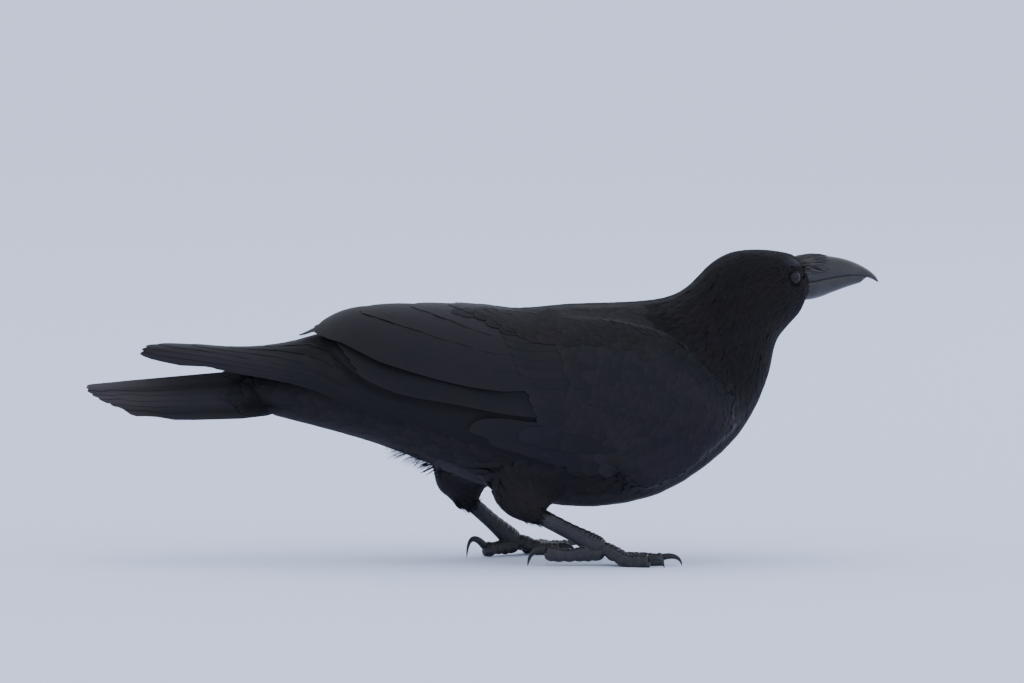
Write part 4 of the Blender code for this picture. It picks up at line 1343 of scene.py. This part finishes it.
class CROW_OT_body_feathers(bpy.types.Operator):
    """Scatters and lays the small feathers of head, neck, trunk and thighs"""

    bl_idname = "crow.body_feathers"
    bl_label = "Body feathers"

    def execute(self, context):
        settings = context.scene.crow_plumage
        chance = random.Random(settings.seed)
        cover = self.wing_cover()
        gap_scale = 1 / math.sqrt(settings.density)

        def sizes(point):
            station, angle, lie, down = lie_at(point)
            gap, length, half, depth = between(FEATHER_ROWS, station)
            fold = eased(0, 0.15, down)
            gap, length = gap * (1 - 0.35 * fold), length * (1 - 0.4 * fold)
            half, depth = half * (1 - 0.36 * fold), depth * (1 - 0.4 * fold)
            for centre in EYES.values():
                near = 1 - eased(EYE_RADIUS - 1, EYE_RADIUS + 7, (point - centre).length)
                if near > 0:
                    gap, length, half = gap * (1 - 0.3 * near), length * (1 - 0.55 * near), half * (1 - 0.3 * near)
                    out = (point - centre).normalized()
                    lie = (lie + out * (0.5 * near - min(0.0, lie.dot(out)) * near)
                           + Vector((0, 0, math.copysign(0.35 * near, out.z)))).normalized()
            return station, angle, lie, gap * gap_scale, length, half, depth, down

        def spacing(point):
            if in_eye(point) or unturned(point).x > 183.5 or self.between_wings(point):
                return 0.0
            return sizes(point)[3]

        coats = {"face": Coat(SOFT), "neck": Coat(SOFT), "trunk": Coat(CONTOUR), "belly": Coat(CONTOUR),
                 "thighs": Coat(SOFT)}
        body, back = plumage_ground(), cloak_ground()
        roots = [(body, root) for root in scattered(body, spacing, chance, 6.5)]
        roots += [(back, root) for root in scattered(
            back, lambda point: sizes(point)[3] if self.between_wings(point) else 0.0, chance, 6.5)]
        for ground, root in roots:
            station, angle, lie, gap, length, half, depth, down = sizes(root)
            place, normal = ground.settle(root)
            sunk = 0.0
            if ground is back:
                sunk = 0.35 * eased(60, 30, root.x) + 2.6 * eased(5, -35, root.x)
            else:
                clear = self.clearance(cover, place)
                if clear <= 0 and self.clearance(cover, place + lie * length * 0.9) <= 0:
                    continue
                if root.x > 64:
                    length = min(length, 3.4 + max(0.0, clear) * 1.2)
                    sunk = 0.1 * eased(4, 0.5, clear)
            length *= chance.uniform(0.88, 1.15)
            half *= chance.uniform(0.96, 1.24)
            wander = Matrix.Rotation(math.radians(chance.gauss(0, 4)), 3, normal)
            if down > 0.5:
                kind = "thighs"
                length = min(length, 1.5 + (root - self.cuff_end(root)).length * 1.05)
            elif station + chance.gauss(0, 0.45) > 9.2:
                kind = "face" if station > 12.8 else "neck"
            else:
                kind = "belly" if abs(angle) > 95 else "trunk"
            # A random tone for each feather, plus painted sheen over the eyes and painted shade under them and at the
            # lores; painted shade darkens trunk feathers towards the neck and along the top of the back, and neck
            # feathers are paler low down.
            tone = 0.15 + 0.7 * chance.random() + self.brow_painted_sheen_and_shade(root)
            if kind in ("trunk", "belly"):
                tone -= 1.05 * eased(7.3, 9.0, station) + 1.1 * eased(80, 45, abs(angle))
            elif kind == "neck":
                tone += 0.9 * eased(108, 84, root.z)
            coats[kind].lay(
                ground, root, wander @ lie, length, (half, half), body_place(root), tone, depth=depth * 0.7,
                tip=chance.uniform(0.04, 0.14) * min(1, gap / 2.6) - sunk,
                tilt=chance.uniform(-0.02, 0.02) * half * 0.3, thick=0.03 + 0.015 * half, hug=half > 2.2, rise=3.4,
                steer=self.steering(wander),
            )
        self.loose_hairs(coats["thighs"], chance)
        body = body_plume(settings)
        head = plume_material("head plume", plumage_colours(settings, 0.58), 0.7, 0.125, spread=0.5)
        for kind, coat in coats.items():
            coat.build("feathers_" + kind, head if kind in ("face", "neck") else body, "plumage")
        return {"FINISHED"}

    @staticmethod
    def between_wings(point):
        """Whether the point is on the strip of back that shows between the wings."""
        return -46 < point.x < 104 and point.z > 112 and abs(point.y) < at({-60: 9, 0: 12, 40: 18, 104: 24}, point.x)

    @staticmethod
    def brow_painted_sheen_and_shade(point):
        """How much painted sheen makes the glossy feathers over an eye paler, and how much painted shade darkens those
        under them and at the lores.
        """
        place = unturned(point)

        def near(x, y, z, length, width, height):
            off = Vector(((place.x - x) / length, (abs(place.y) - y) / width, (place.z - z) / height)).length
            return eased(1.0, 0.4, off)

        return (5.8 * near(169.8, 13.2, 163.1, 13, 5.5, 3.4) - 1.1 * near(171, 15, 160.2, 8, 4, 1.8)
                - 1.0 * near(179, 11, 156, 4, 5, 9))

    @staticmethod
    def cuff_end(point):
        ends = [Vector(leg["heel"]).lerp(Vector(leg["foot"]), CUFF_END) for leg in LEGS.values()]
        return min(ends, key=lambda end: (end - point).length)

    @staticmethod
    def loose_hairs(coat, chance):
        """Loose hairs hanging behind the thighs and at the foot of each one."""
        ground = body_ground()
        for _ in range(260):
            x = chance.uniform(-50, -18)
            y = chance.gauss(0, 9)
            root, normal = ground.settle(Vector((x, y, 52 + 0.02 * y * y - (x + 34) * 0.45)))
            length = chance.uniform(6, 12) * (1.3 if -44 < x < -24 else 0.6)
            way = Vector((-0.8 + chance.gauss(0, 0.1), 0.02 * y + chance.gauss(0, 0.1), -0.42 + chance.gauss(0, 0.12)))
            start = root - normal * 1.2
            middle = start + (way.normalized() - normal * way.normalized().dot(normal) * 0.6) * length * 0.5
            coat.loose((start, middle, middle + way.normalized() * length * 0.5), normal, chance.uniform(0.25, 0.6),
                       body_place(root), chance.random(), 0.12)
        for leg in LEGS.values():
            heel, foot = Vector(leg["heel"]), Vector(leg["foot"])
            down = (foot - heel).normalized()
            across = down.cross(Vector((0, 0, 1))).normalized()
            deep = across.cross(down)
            for _ in range(170):
                angle = chance.uniform(0, 2 * math.pi)
                out = across * math.cos(angle) + deep * math.sin(angle)
                share = chance.uniform(0.16, CUFF_END - 0.04)
                size = 1 - 0.42 * max(0, (share - 0.2) / (CUFF_END - 0.2))
                middle = heel.lerp(foot, share)
                root = middle + across * 5.2 * size * math.cos(angle) + deep * 7.2 * size * math.sin(angle)
                length = chance.uniform(3.5, 6.5)
                way = (down + out * chance.uniform(-0.12, 0.3) + across * chance.gauss(0, 0.08)).normalized()
                start = root - out * 0.6
                coat.loose((start, start + (way + out * 0.12) * length * 0.5, start + way * length), out,
                           chance.uniform(0.3, 0.6), body_place(root), chance.random(), 0.12)

    @staticmethod
    def steering(wander):
        def steer(point, share, heading):
            return (heading + (wander @ lie_at(point)[2]) * 0.35).normalized()

        return steer

    @staticmethod
    def wing_cover():
        edges = ({x: angle + 4 for x, angle in WING_TOP.items()}, {x: angle - 4 for x, angle in WING_LOW.items()})
        bm = joined([wing_sheet(side, edges, (139, -92)) for side in (-1, 1)])
        tree = BVHTree.FromBMesh(bm)
        bm.free()
        return tree

    @staticmethod
    def clearance(cover, point):
        """How far the point is from the wings; 0 if it lies on or under one."""
        off = cover.find_nearest(point)[3]
        middle = Vector(SPINE.middles[SPINE.station(point)])
        if off < 1.0 or cover.ray_cast(point, (point - middle).normalized(), 14)[0] is not None:
            return 0.0
        return off


# ---------------------------------------------------------------- wings


def wing_share(x, angle):
    high, low = at(WING_TOP, x), at(WING_LOW, x)
    return (angle - high) / (low - high)


def wing_heading(x, share, side):
    """Which way feathers lie on the wing: back along a line that keeps its share between the edges."""
    def spot(x):
        high, low = at(WING_TOP, x), at(WING_LOW, x)
        return hull_point(WING_HULL, x, high + (low - high) * share, side)

    return (spot(x - 2) - spot(x + 2)).normalized()


def wing_place(x, angle, side):
    return (0.01 + 0.96 * (x + 192) / 340, 0.01 + 0.47 * angle / 180 + (0.5 if side > 0 else 0))


def edge_shadow_mask(point, edge, reach):
    """Mask of the painted shadow that an edge casts on the wing's hull: 1 just under the edge, easing to 0 at that
    reach below it; 0 above it.
    """
    top, bottom, half = at(WING_HULL, point.x)
    level = max(-1.0, min(1.0, (2 * point.z - top - bottom) / (top - bottom)))
    under = (math.degrees(math.acos(level)) - at(edge, point.x)) * 0.0175 * half
    return eased(-1.6, 0.2, under) * eased(reach, 0.6, under) * eased(16, 0, point.x)


class CROW_OT_wings(bpy.types.Operator):
    """Lays the feathers of both folded wings: primaries, secondaries, tertials and coverts"""

    bl_idname = "crow.wings"
    bl_label = "Wings"

    def execute(self, context):
        settings = context.scene.crow_wing
        self.step = settings.step / MM
        material = plume_material("wing plume", plumage_colours(settings))
        for name, side in (("right", -1), ("left", 1)):
            chance = random.Random(31 if side < 0 else 47)
            self.core(name, side)
            self.primaries(name, side, chance, material)
            self.secondaries(name, side, chance, material)
            self.coverts(name, side, chance, material)
        return {"FINISHED"}

    def path(self, hull, ground, coat, spots, side, widths, chance, tilt, tip=0.2, depth=0.8, thick=0.4, tone=None,
             shade=None):
        """Lays a feather along spots, each (x, angle) on the hull, from its root to its tip."""
        points = [hull_point(hull, x, angle, side) for x, angle in spots]
        lengths = [0.0]
        for a, b in zip(points, points[1:]):
            lengths.append(lengths[-1] + (b - a).length)
        total = lengths[-1]

        def steer(point, share, heading):
            if share >= 1:
                return heading
            ahead = min(total, share * total + total * 0.08)
            j = max(k for k in range(len(points) - 1) if lengths[k] <= ahead + 1e-6)
            mark = points[j].lerp(points[j + 1], (ahead - lengths[j]) / (lengths[j + 1] - lengths[j]))
            return (mark - point).normalized()

        inner, outer = widths
        left, right = (outer, inner) if side < 0 else (inner, outer)
        x, angle = spots[0]
        coat.lay(ground, points[0], (points[1] - points[0]).normalized(), total, (left, right),
                 wing_place(x, angle, side), chance.random() if tone is None else tone, depth=depth, tip=tip,
                 tilt=-tilt * (1 if side < 0 else -1), thick=thick, steer=steer, rise=2.0, fray=0.1, chance=chance,
                 shade=shade, side=side)

    def core(self, name, side):
        """The dark inside of the wing, just under its feathers."""
        parts = [f"wing_{name}_coverts", f"wing_{name}_secondaries"]
        bm = remeshed(joined([from_node(part) for part in parts]), 1.5)
        swollen(bm, -1.25)
        ground = wing_ground(side)
        for vert in bm.verts:
            place, normal = ground.settle(vert.co)
            over = (vert.co - place).dot(normal) + 2.4
            if over > 0:
                vert.co -= normal * over
            vert.co.z -= 1.2 * eased(20, 0, abs(vert.co.y))
        make_piece("wing_core_" + name, bm, down_material("wing down"), parts)

    def primaries(self, name, side, chance, material):
        ground = primary_ground(side)
        coat = Coat(QUILL)
        # each primary's tip (x, angle), then how far up from the lower edge its shaft lies
        tips = [(-92, 14), (-105.5, 13), (-119, 12), (-140, 13), (-160, 17), (-177, 26), (-184, 42), (-186, 58),
                (-187.5, 88), (-150, 79)]
        ranks = [0.86, 0.77, 0.68, 0.6, 0.52, 0.44, 0.36, 0.27, 0.17, 0.08]
        for k in range(9, -1, -1):
            (end, tip_angle), rank = tips[k], ranks[k]
            spots = []
            for j in range(11):
                t = j / 10
                x = 50 + (end - 50) * t
                low, high = at(PRIMARY_LOW, x), at(PRIMARY_TOP, x)
                outer = 5.5 / (0.0175 * at(PRIMARY_HULL, x)[2])
                angle = low - outer * 0.7 - (low - high) * rank * 0.9
                near = eased(0.6, 1, t)
                spots.append((x, max(high + 2, angle * (1 - near) + tip_angle * near)))
            inner = 11 - 0.5 * k
            self.path(PRIMARY_HULL, ground, coat, spots, side, (inner, 4.6 if k < 8 else 3.2), chance,
                      self.step * 0.45, tip=0.25 - 0.03 * k, depth=0.5, thick=0.2,
                      tone=chance.uniform(-0.3, 0.0), shade=self.primary_painted_shade)
        coat.build("primaries_" + name, material, "flight", (f"wing_{name}_primaries",))

    @staticmethod
    def primary_painted_shade(point):
        """Primaries carry painted shade, dark and dull, under the edges of the secondaries and tertials near the wing,
        and are paler towards their tips.
        """
        dark = 1.5 * edge_shadow_mask(point, SECONDARY_EDGE, 7) + 1.5 * edge_shadow_mask(point, TERTIAL_EDGE, 7)
        return 2.4 * eased(-70, -165, point.x) - dark

    def secondaries(self, name, side, chance, material):
        ground = wing_ground(side)
        coat = Coat(QUILL)
        tips = [-68, -71.5, -75, -78.5, -81.5, -84]
        for k, tip in enumerate(tips):
            share = (0, 0.2, 0.38, 0.54, 0.68, 0.8)[k]
            spots = []
            for j in range(8):
                x = 46 + (tip - 46) * j / 7
                low, high = at(SECONDARY_EDGE, x), at(TERTIAL_EDGE, x)
                edge = low + (high - low) * share
                outer = 4.5 / (0.0175 * at(WING_HULL, x)[2])
                spots.append((x, edge - outer))
            # Painted shade: secondaries nearer the tertials get a lower tone, and a dark band under the tertials' edge.
            self.path(WING_HULL, ground, coat, spots, side, (13, 4.5), chance, self.step * 0.45, tip=-1.5 + 0.06 * k,
                      depth=0.8, thick=0.2, tone=(0.5, 0.4, 0.3, 0.1, -0.1, -0.4)[k],
                      shade=lambda point: -1.9 * edge_shadow_mask(point, TERTIAL_EDGE, 5.5))
        spots = ((30, 62), (0, 58), (-30, 50), (-60, 36), (-80, 23), (-100, 15))
        self.path(WING_HULL, ground, coat, spots, side, (8, 5), chance, 0.05, tip=-1.0, depth=0.8, thick=0.2, tone=0.6)
        coat.build("secondaries_" + name, material, "flight")
        coat = Coat(BROAD)
        # tertials, lowest first: (x, angle) down the shaft, then width above and below it, and height
        for spots, widths, tip in (
            (((40, 72), (10, 70), (-20, 66), (-45, 59), (-66, 45), (-80, 31), (-90, 17)), (24, 12), 0.25),
            (((40, 60), (10, 57), (-20, 52), (-45, 44), (-64, 31), (-78, 19), (-87, 10)), (22, 12), 0.32),
            (((42, 50), (15, 47), (-10, 41), (-35, 30), (-52, 20), (-65, 11)), (20, 10), 0.40),
            (((44, 40), (24, 38), (4, 32), (-12, 23), (-26, 14), (-37, 7)), (18, 9), 0.48),
            (((46, 32), (30, 29), (16, 23), (4, 16), (-8, 9), (-16, 4)), (15, 8), 0.56),
        ):
            # Painted light: higher tertials get a higher tone, paler where the wing's top faces the sky, with a touch
            # of painted sheen on the highest.
            lowest = tip < 0.3
            self.path(WING_HULL, ground, coat, spots, side, widths, chance, self.step * (0.8 if lowest else 0.12),
                      tip=tip, depth=0.8 if tip > 0.45 else 0.4, thick=0.2 if lowest else 0.12,
                      tone=0.7 + 2.5 * (tip - 0.25) + chance.uniform(-0.2, 0.2))
        coat.build("tertials_" + name, material, "flight")

    def coverts(self, name, side, chance, material):
        ground = wing_ground(side)
        long_ones = Coat(QUILL)
        # primary coverts under the bend, lowest last, then the bastard wing
        for k in range(6, -1, -1):
            tip = (-6, 2, 11, 20, 31, 43, 56)[k]
            angle = (110, 114, 117, 120, 123, 126, 128)[k]
            spots = [(78 + (tip - 78) * j / 5, 108 + 2.2 * k + (angle - 108 - 2.2 * k) * j / 5) for j in range(6)]
            self.path(WING_HULL, ground, long_ones, spots, side, (8 if k else 11, 5), chance, self.step * 0.25,
                      tip=0.1 + 0.02 * (6 - k), depth=0.8, thick=0.16, tone=0.5 + chance.uniform(-0.2, 0.2))
        for tip, angle in ((44, 112), (32, 109.5), (21, 107)):
            spots = [(88 + (tip - 88) * j / 5, angle + 1.5 - 1.5 * j / 5) for j in range(6)]
            self.path(WING_HULL, ground, long_ones, spots, side, (8, 4), chance, self.step * 0.3, tip=0.4, depth=0.4,
                      thick=0.16)
        # greater coverts, from the lowest up
        rows = 12
        for k in range(rows):
            t = k / (rows - 1)
            x, angle = 31 - 23 * t, 95 - 66 * t
            spots = [(x + 44 * (1 - j / 5), angle + (3 - 6 * t) * (1 - j / 5)) for j in range(6)]
            self.path(WING_HULL, ground, long_ones, spots, side, (9, 5.5), chance, self.step * 0.2,
                      tip=-0.05 + 0.15 * t, depth=0.5, thick=0.1, tone=0.5 + chance.uniform(-0.15, 0.15))
        long_ones.build("long_coverts_" + name, material, "flight")

        small = Coat(COVERT)
        for k in range(15):
            t = k / 14
            self.small(small, ground, 76 - 18 * t + chance.uniform(-2, 2), 102 - 76 * t, side, 25, 5.6, chance, 0.14)
        # lesser coverts, rows that shrink towards the bend
        x, row = 64.0, 0
        while x < 143:
            toward = (x - 64) / 79
            length, half = 17 - 9.5 * toward, 4.9 - 2.7 * toward
            high, low = at(WING_TOP, x) - 3, at(WING_LOW, x) + 1
            if x < 84:
                low = min(low, 112 + (x - 64) * 1.5)
            reach = at(WING_HULL, x)[2] * 0.0175 * (low - high)
            count = max(3, int(reach / (half * 1.15)))
            for k in range(count + 1):
                angle = high + (low - high) * (k + 0.5 * (row % 2) + chance.uniform(-0.22, 0.22)) / count
                self.small(small, ground, x + chance.uniform(-0.16, 0.16) * length, angle, side, length, half, chance,
                           0.11 + chance.uniform(-0.03, 0.03))
            x += length * 0.3
            row += 1
        small.build("small_coverts_" + name, material, "flight")
        self.scapulars(name, side, chance, body_plume(bpy.context.scene.crow_plumage))

    def scapulars(self, name, side, chance, material):
        """The feathers from the shoulder that lie over the wing's upper edge."""
        ground = cloak_ground()
        coat = Coat(COVERT)
        x = 8.0
        while x < 100:
            low = at({8: 17, 25: 27, 40: 36, 60: 43, 80: 48, 100: 50}, x)
            high = at({8: 2, 40: 4, 60: 6, 100: 12}, x)
            reach = at(WING_HULL, x)[2] * 0.0175 * (low - high)
            count = max(2, round(reach / 4.2))
            for k in range(count + 1):
                angle = low + (high - low) * (k + chance.uniform(-0.25, 0.25)) / count
                root = hull_point(WING_HULL, x + chance.uniform(-1.6, 1.6), angle, side)
                heading = Vector((-1, side * 0.1, -0.04)).normalized()
                length = (22 - 6 * eased(50, 100, x)) * chance.uniform(0.9, 1.1)
                half = 4.9 - 1.2 * eased(50, 100, x)
                # A random tone, with painted shade deepening towards the shoulder.
                tone = 0.5 * chance.random() - 0.1 - 0.2 * eased(50, 100, x)
                coat.lay(ground, root, heading, length, (half, half), wing_place(x, angle, side), tone,
                         depth=0.9, tip=0.3 + 0.3 * eased(60, 20, x) + chance.uniform(-0.05, 0.05), thick=0.06,
                         rise=3.0, tilt=-0.03 * (1 if side < 0 else -1), steer=self.backward(side))
            x += 4.6
        coat.build("scapulars_" + name, material, "plumage")

    @staticmethod
    def backward(side):
        def steer(point, share, heading):
            return (heading + Vector((-0.4, side * 0.02, 0))).normalized()

        return steer

    def small(self, coat, ground, x, angle, side, length, half, chance, tip):
        share = wing_share(x, angle)
        root = hull_point(WING_HULL, x, angle, side)
        heading = wing_heading(x - 4, share, side)

        def steer(point, along, heading):
            return (heading * 0.5 + wing_heading(point.x, share, side)).normalized()

        # Painted light makes the small coverts paler along the wing's front edge and low on the wing, and painted shade
        # darkens those near its top.
        edge = eased(7, 1, tuck(x, angle)) * eased(60, 90, x)
        upper = eased(30, 4, angle - at(WING_TOP, x)) * (0.4 + 0.5 * eased(60, 95, x))
        tone = 0.2 + 0.6 * chance.random() + 1.1 * edge + 0.5 * eased(105, 125, angle) - upper
        coat.lay(ground, root, heading, length * chance.uniform(0.92, 1.1), (half, half),
                 wing_place(x, angle, side), tone,
                 depth=0.42 - 0.3 * edge, tip=tip + 0.28 * edge, thick=0.05, rise=3.4,
                 tilt=-chance.uniform(0.0, 0.015) * (1 if side < 0 else -1), steer=steer)


# ---------------------------------------------------------------- tail


class CROW_OT_tail(bpy.types.Operator):
    """Lays the twelve feathers of the folded tail"""

    bl_idname = "crow.tail"
    bl_label = "Tail"

    def execute(self, context):
        settings = context.scene.crow_wing
        # Painted light: the tail's plume is the wing's colours made over twice as pale.
        material = plume_material("tail plume", plumage_colours(settings, 2.15), specular=0.18)
        ground = tail_ground()
        chance = random.Random(5)
        coat = Coat(BROAD)
        for rank in range(5, -1, -1):
            for side in (-1, 1):
                length = TAIL_LENGTH - (0, 0.6, 2, 5.5, 11, 17)[rank] - chance.uniform(0, 1)
                middle = side * (0.18 + 0.13 * rank)
                points = [tail_point(length * j / 8, middle * (0.9 + 0.1 * j / 8)) for j in range(9)]

                def steer(point, along, heading, length=length, middle=middle):
                    ahead = min(1.0, along + 0.08)
                    return (tail_point(length * ahead, middle) - point).normalized() if along < 1 else heading

                inner, outer = min(13, abs(middle) * 22 + 1.2), 6.5
                left, right = (inner, outer) if side > 0 else (outer, inner)
                coat.lay(ground, points[0], (points[1] - points[0]).normalized(), length, (left, right),
                         (0.05 + 0.07 * (rank + 6 * (side > 0)), 0.3), 0.5 + chance.uniform(-0.15, 0.15), depth=0.3,
                         tip=-0.22 * rank, tilt=0.07 * side, thick=0.2, steer=steer, rise=2.0, fray=0.3,
                         chance=chance, shade=tail_painted_light_and_shade)
        coat.build("tail_feathers", material, "flight", ("tail",))
        # Tail coverts are painted darker row by row towards the root, as painted shade under the wing tips, and take
        # the tail's painted light and shade too.
        coverts = Coat(CONTOUR)
        for row in range(7):
            for k in range(15):
                across = (k - 7 + 0.5 * (row % 2)) / 7.5
                along = 30 - 4 * row + chance.uniform(-3, 3)
                coverts.lay(ground, tail_point(along, across), Vector((-1, 0, -0.05)), chance.uniform(17, 26),
                            (3.6, 3.6), (0.05 + 0.06 * k, 0.6 + 0.05 * row), 0.3 * chance.random() - 0.5 - 0.15 * row,
                            depth=1.4, tip=0.35 + 0.1 * row, thick=0.06, rise=3.0, shade=tail_painted_light_and_shade)
        coverts.build("tail_covert_feathers", material, "flight")
        return {"FINISHED"}


# ---------------------------------------------------------------- legs


@finish
def scaled_material(graph, shader, dark):
    """Small scales with paler edges."""
    place = graph.place()
    edges, drift = graph.cells(place, 720.0), graph.noise(place, 160.0, 4.0)
    colour = graph.mix(graph.ramp(drift, 0.35, 0.7), tinted(dark, 0.8), tinted(dark, 1.9))
    colour = graph.mix(graph.times(graph.ramp(edges, 0.12, 0.0), 0.5), colour, tinted(dark, 2.8))
    graph.set(shader, Base_Color=colour, Roughness=graph.plus(0.36, graph.times(drift, 0.2)),
              Normal=graph.relief(graph.ramp(edges, 0.0, 0.25), 0.5, 0.0003), Specular_IOR_Level=0.45)


def plate(distance, length):
    """How high a plate stands along its length: it rises towards its free end and drops at the next."""
    t = (distance / length) % 1
    return t**0.7 * (1 - eased(0.86, 1, t))


class CROW_OT_legs(bpy.types.Operator):
    """Makes the scaled shanks and toes of both feet as one skin each, and their claws"""

    bl_idname = "crow.legs"
    bl_label = "Legs"

    def execute(self, context):
        settings = context.scene.crow_legs
        self.scute = settings.scute / MM
        claw = horn_material("claw horn", tuple(settings.claw_colour), 0.32, 0.3)
        for name, leg in LEGS.items():
            heel, foot = Vector(leg["heel"]), Vector(leg["foot"])
            parts = [self.shank(heel, foot)]
            replaced = ["shank_" + name]
            for toe, (bearing, length, lift) in leg["toes"].items():
                angle = math.radians(bearing)
                heading = Vector((math.cos(angle), math.sin(angle), 0))
                bm, end = self.toe(foot, heading, length, lift, toe == "hind")
                parts.append(bm)
                replaced.append(f"toe_{toe}_{name}")
                key = "hind_" + name if toe == "hind" else toe
                self.claw(f"talon_{toe}_{name}", f"claw_{toe}_{name}", end, heading, CLAWS[key], claw)
            parts.append(self.pad(foot))
            whole = remeshed(joined(parts), 0.3)
            biggest(whole)
            evened(whole, factor=0.3)
            for vert in whole.verts:
                vert.co.z = max(vert.co.z, 0)
            scales = scaled_material("scaled skin", tuple(settings.colour))
            make_piece("foot_" + name, whole, scales, replaced)
        return {"FINISHED"}

    def tube(self, points, sizes, around, along, relief, rounding=1.8):
        """A closed bar along points; relief(share along, up) says how far its skin stands out."""
        stations = [(*point, *size) for point, size in zip(points, sizes)]
        spans = len(stations) - 1
        rows = [between(stations, spans * k / along) for k in range(along + 1)]
        line = [Vector(row[:3]) for row in rows]
        for row, point in zip(rows, line):
            edge = min((point - line[0]).length, (point - line[-1]).length)
            end = math.sqrt(max(0.0, 1 - (1 - min(1.0, edge / rounding)) ** 2))
            row[3], row[4] = row[3] * (0.25 + 0.75 * end), row[4] * (0.25 + 0.75 * end)
        frames = []
        for k in range(along + 1):
            ahead = (line[min(k + 1, along)] - line[max(k - 1, 0)]).normalized()
            across = ahead.cross(Vector((0, 0, 1))).normalized()
            frames.append((across, across.cross(ahead).normalized()))

        def place(u, v):
            k = round(v * along)
            if k in (0, along):
                return line[k]
            angle = 2 * math.pi * u
            across, deep = frames[k]
            out = relief(v, math.sin(angle), math.cos(angle))
            wide, high = rows[k][3] + out, rows[k][4] + out
            return line[k] + across * wide * math.cos(angle) + deep * high * math.sin(angle)

        return rolled(around, along, place)

    def shank(self, heel, foot):
        points = [heel.lerp(foot, share) for share in SHANK]
        reach = (foot - heel).length

        def relief(v, up, out):
            size = 0.35 + 0.55 * eased(0.45, 0.85, v)
            back = 0.25 * abs(math.sin(v * reach / 2.6 * math.pi)) * eased(0.2, 0.8, -up) * eased(0.5, 0.9, v)
            return size * plate(v * reach * 1.085, self.scute) * eased(-0.1, 0.7, up) + back

        return self.tube(points, list(SHANK.values()), 36, 150, relief)

    def toe(self, centre, heading, length, lift, hind):
        pieces = 6 if hind else 8
        points, sizes = [], []
        for k in range(pieces + 1):
            share = k / pieces
            reach = 2 + (length - 2) * share
            down = min(1, reach / TOE_SLOPE)
            root = centre.z - (4 if hind else 0.5) - TOE_AXIS_HEIGHT
            drop = root * (1 - down * down * (3 - 2 * down))
            knuckle = HIND_PADS[k] if hind else (1.05 if k == pieces else (1.06 if k % 2 == 0 else 0.95))
            points.append(Vector((centre.x + heading.x * reach, centre.y + heading.y * reach,
                                  TOE_AXIS_HEIGHT + drop + lift * share + (0.5 if k == pieces else 0))))
            slim = 1 - 0.08 * share
            sizes.append((TOE_SIZE[0] * knuckle * slim, TOE_SIZE[1] * knuckle))

        def relief(v, up, out):
            top = 0.62 * plate(v * length, 2.5) * eased(0.0, 0.7, up)
            pads = 0.55 * abs(math.sin(v * length / 5.6 * math.pi)) * eased(0.0, 0.6, -up)
            return top + pads - 0.25

        return self.tube(points, sizes, 28, 96, relief), points[-1]

    @staticmethod
    def pad(foot):
        """The pad under the joint of the toes."""
        bm = bmesh.new()
        bmesh.ops.create_icosphere(bm, subdivisions=4, radius=1)
        bmesh.ops.scale(bm, vec=(5.2, 5.0, 4.0), verts=bm.verts)
        bmesh.ops.translate(bm, vec=(foot.x - 0.5, foot.y, max(4.0, foot.z - 4.4)), verts=bm.verts)
        return bm

    def claw(self, name, node, end, heading, size, material):
        reach, arch, radius = size
        start = end + heading * -0.6 + Vector((0, 0, 1.1))
        tip = start + heading * (reach + 0.9)
        tip.z = 0.0
        crest = start + heading * reach
        crest.z = arch
        points, sizes = [], []
        for k in range(13):
            share = k / 12
            points.append(start * (1 - share) ** 2 + crest * 2 * share * (1 - share) + tip * share**2)
            taper = (radius + 0.1) * (1 - share) ** 0.72 + 0.14
            sizes.append((taper * 0.72, taper))
        bm = self.tube(points, sizes, 18, 40, lambda v, up, out: -0.12 * eased(0.3, 0.9, -up), 0.3)
        for vert in bm.verts:
            vert.co.z = max(vert.co.z, 0)
        make_piece(name, bm, material, (node,))


# ---------------------------------------------------------------- panel


class CROW_PT_panel(bpy.types.Panel):
    """Lists the crow's pieces and their settings"""

    bl_label = "Crow"
    bl_idname = "CROW_PT_panel"
    bl_space_type = "VIEW_3D"
    bl_region_type = "UI"
    bl_category = "Crow"

    def draw(self, context):
        for operators, group in PANEL_ROWS:
            box = self.layout.box()
            for operator in operators:
                box.operator(operator.bl_idname)
            settings = getattr(context.scene, group)
            for name in settings.__annotations__:
                box.prop(settings, name)


SETTINGS = {
    "crow_stage": CrowStageSettings,
    "crow_skin": CrowSkinSettings,
    "crow_head": CrowHeadSettings,
    "crow_plumage": CrowPlumageSettings,
    "crow_wing": CrowWingSettings,
    "crow_legs": CrowLegSettings,
}
PANEL_ROWS = [
    ((CROW_OT_stage,), "crow_stage"),
    ((CROW_OT_skin,), "crow_skin"),
    ((CROW_OT_eyes, CROW_OT_bill, CROW_OT_bristles), "crow_head"),
    ((CROW_OT_body_feathers,), "crow_plumage"),
    ((CROW_OT_wings, CROW_OT_tail), "crow_wing"),
    ((CROW_OT_legs,), "crow_legs"),
]
CLASSES = [*SETTINGS.values(), *(operator for operators, _ in PANEL_ROWS for operator in operators), CROW_PT_panel]


def register():
    for cls in CLASSES:
        bpy.utils.register_class(cls)
    for name, cls in SETTINGS.items():
        setattr(bpy.types.Scene, name, PointerProperty(type=cls))


def unregister():
    for name in SETTINGS:
        delattr(bpy.types.Scene, name)
    for cls in reversed(CLASSES):
        bpy.utils.unregister_class(cls)


def main():
    register()
    for operators, _ in PANEL_ROWS:
        for operator in operators:
            group, name = operator.bl_idname.split(".")
            getattr(getattr(bpy.ops, group), name)()


if __name__ == "__main__":
    main()
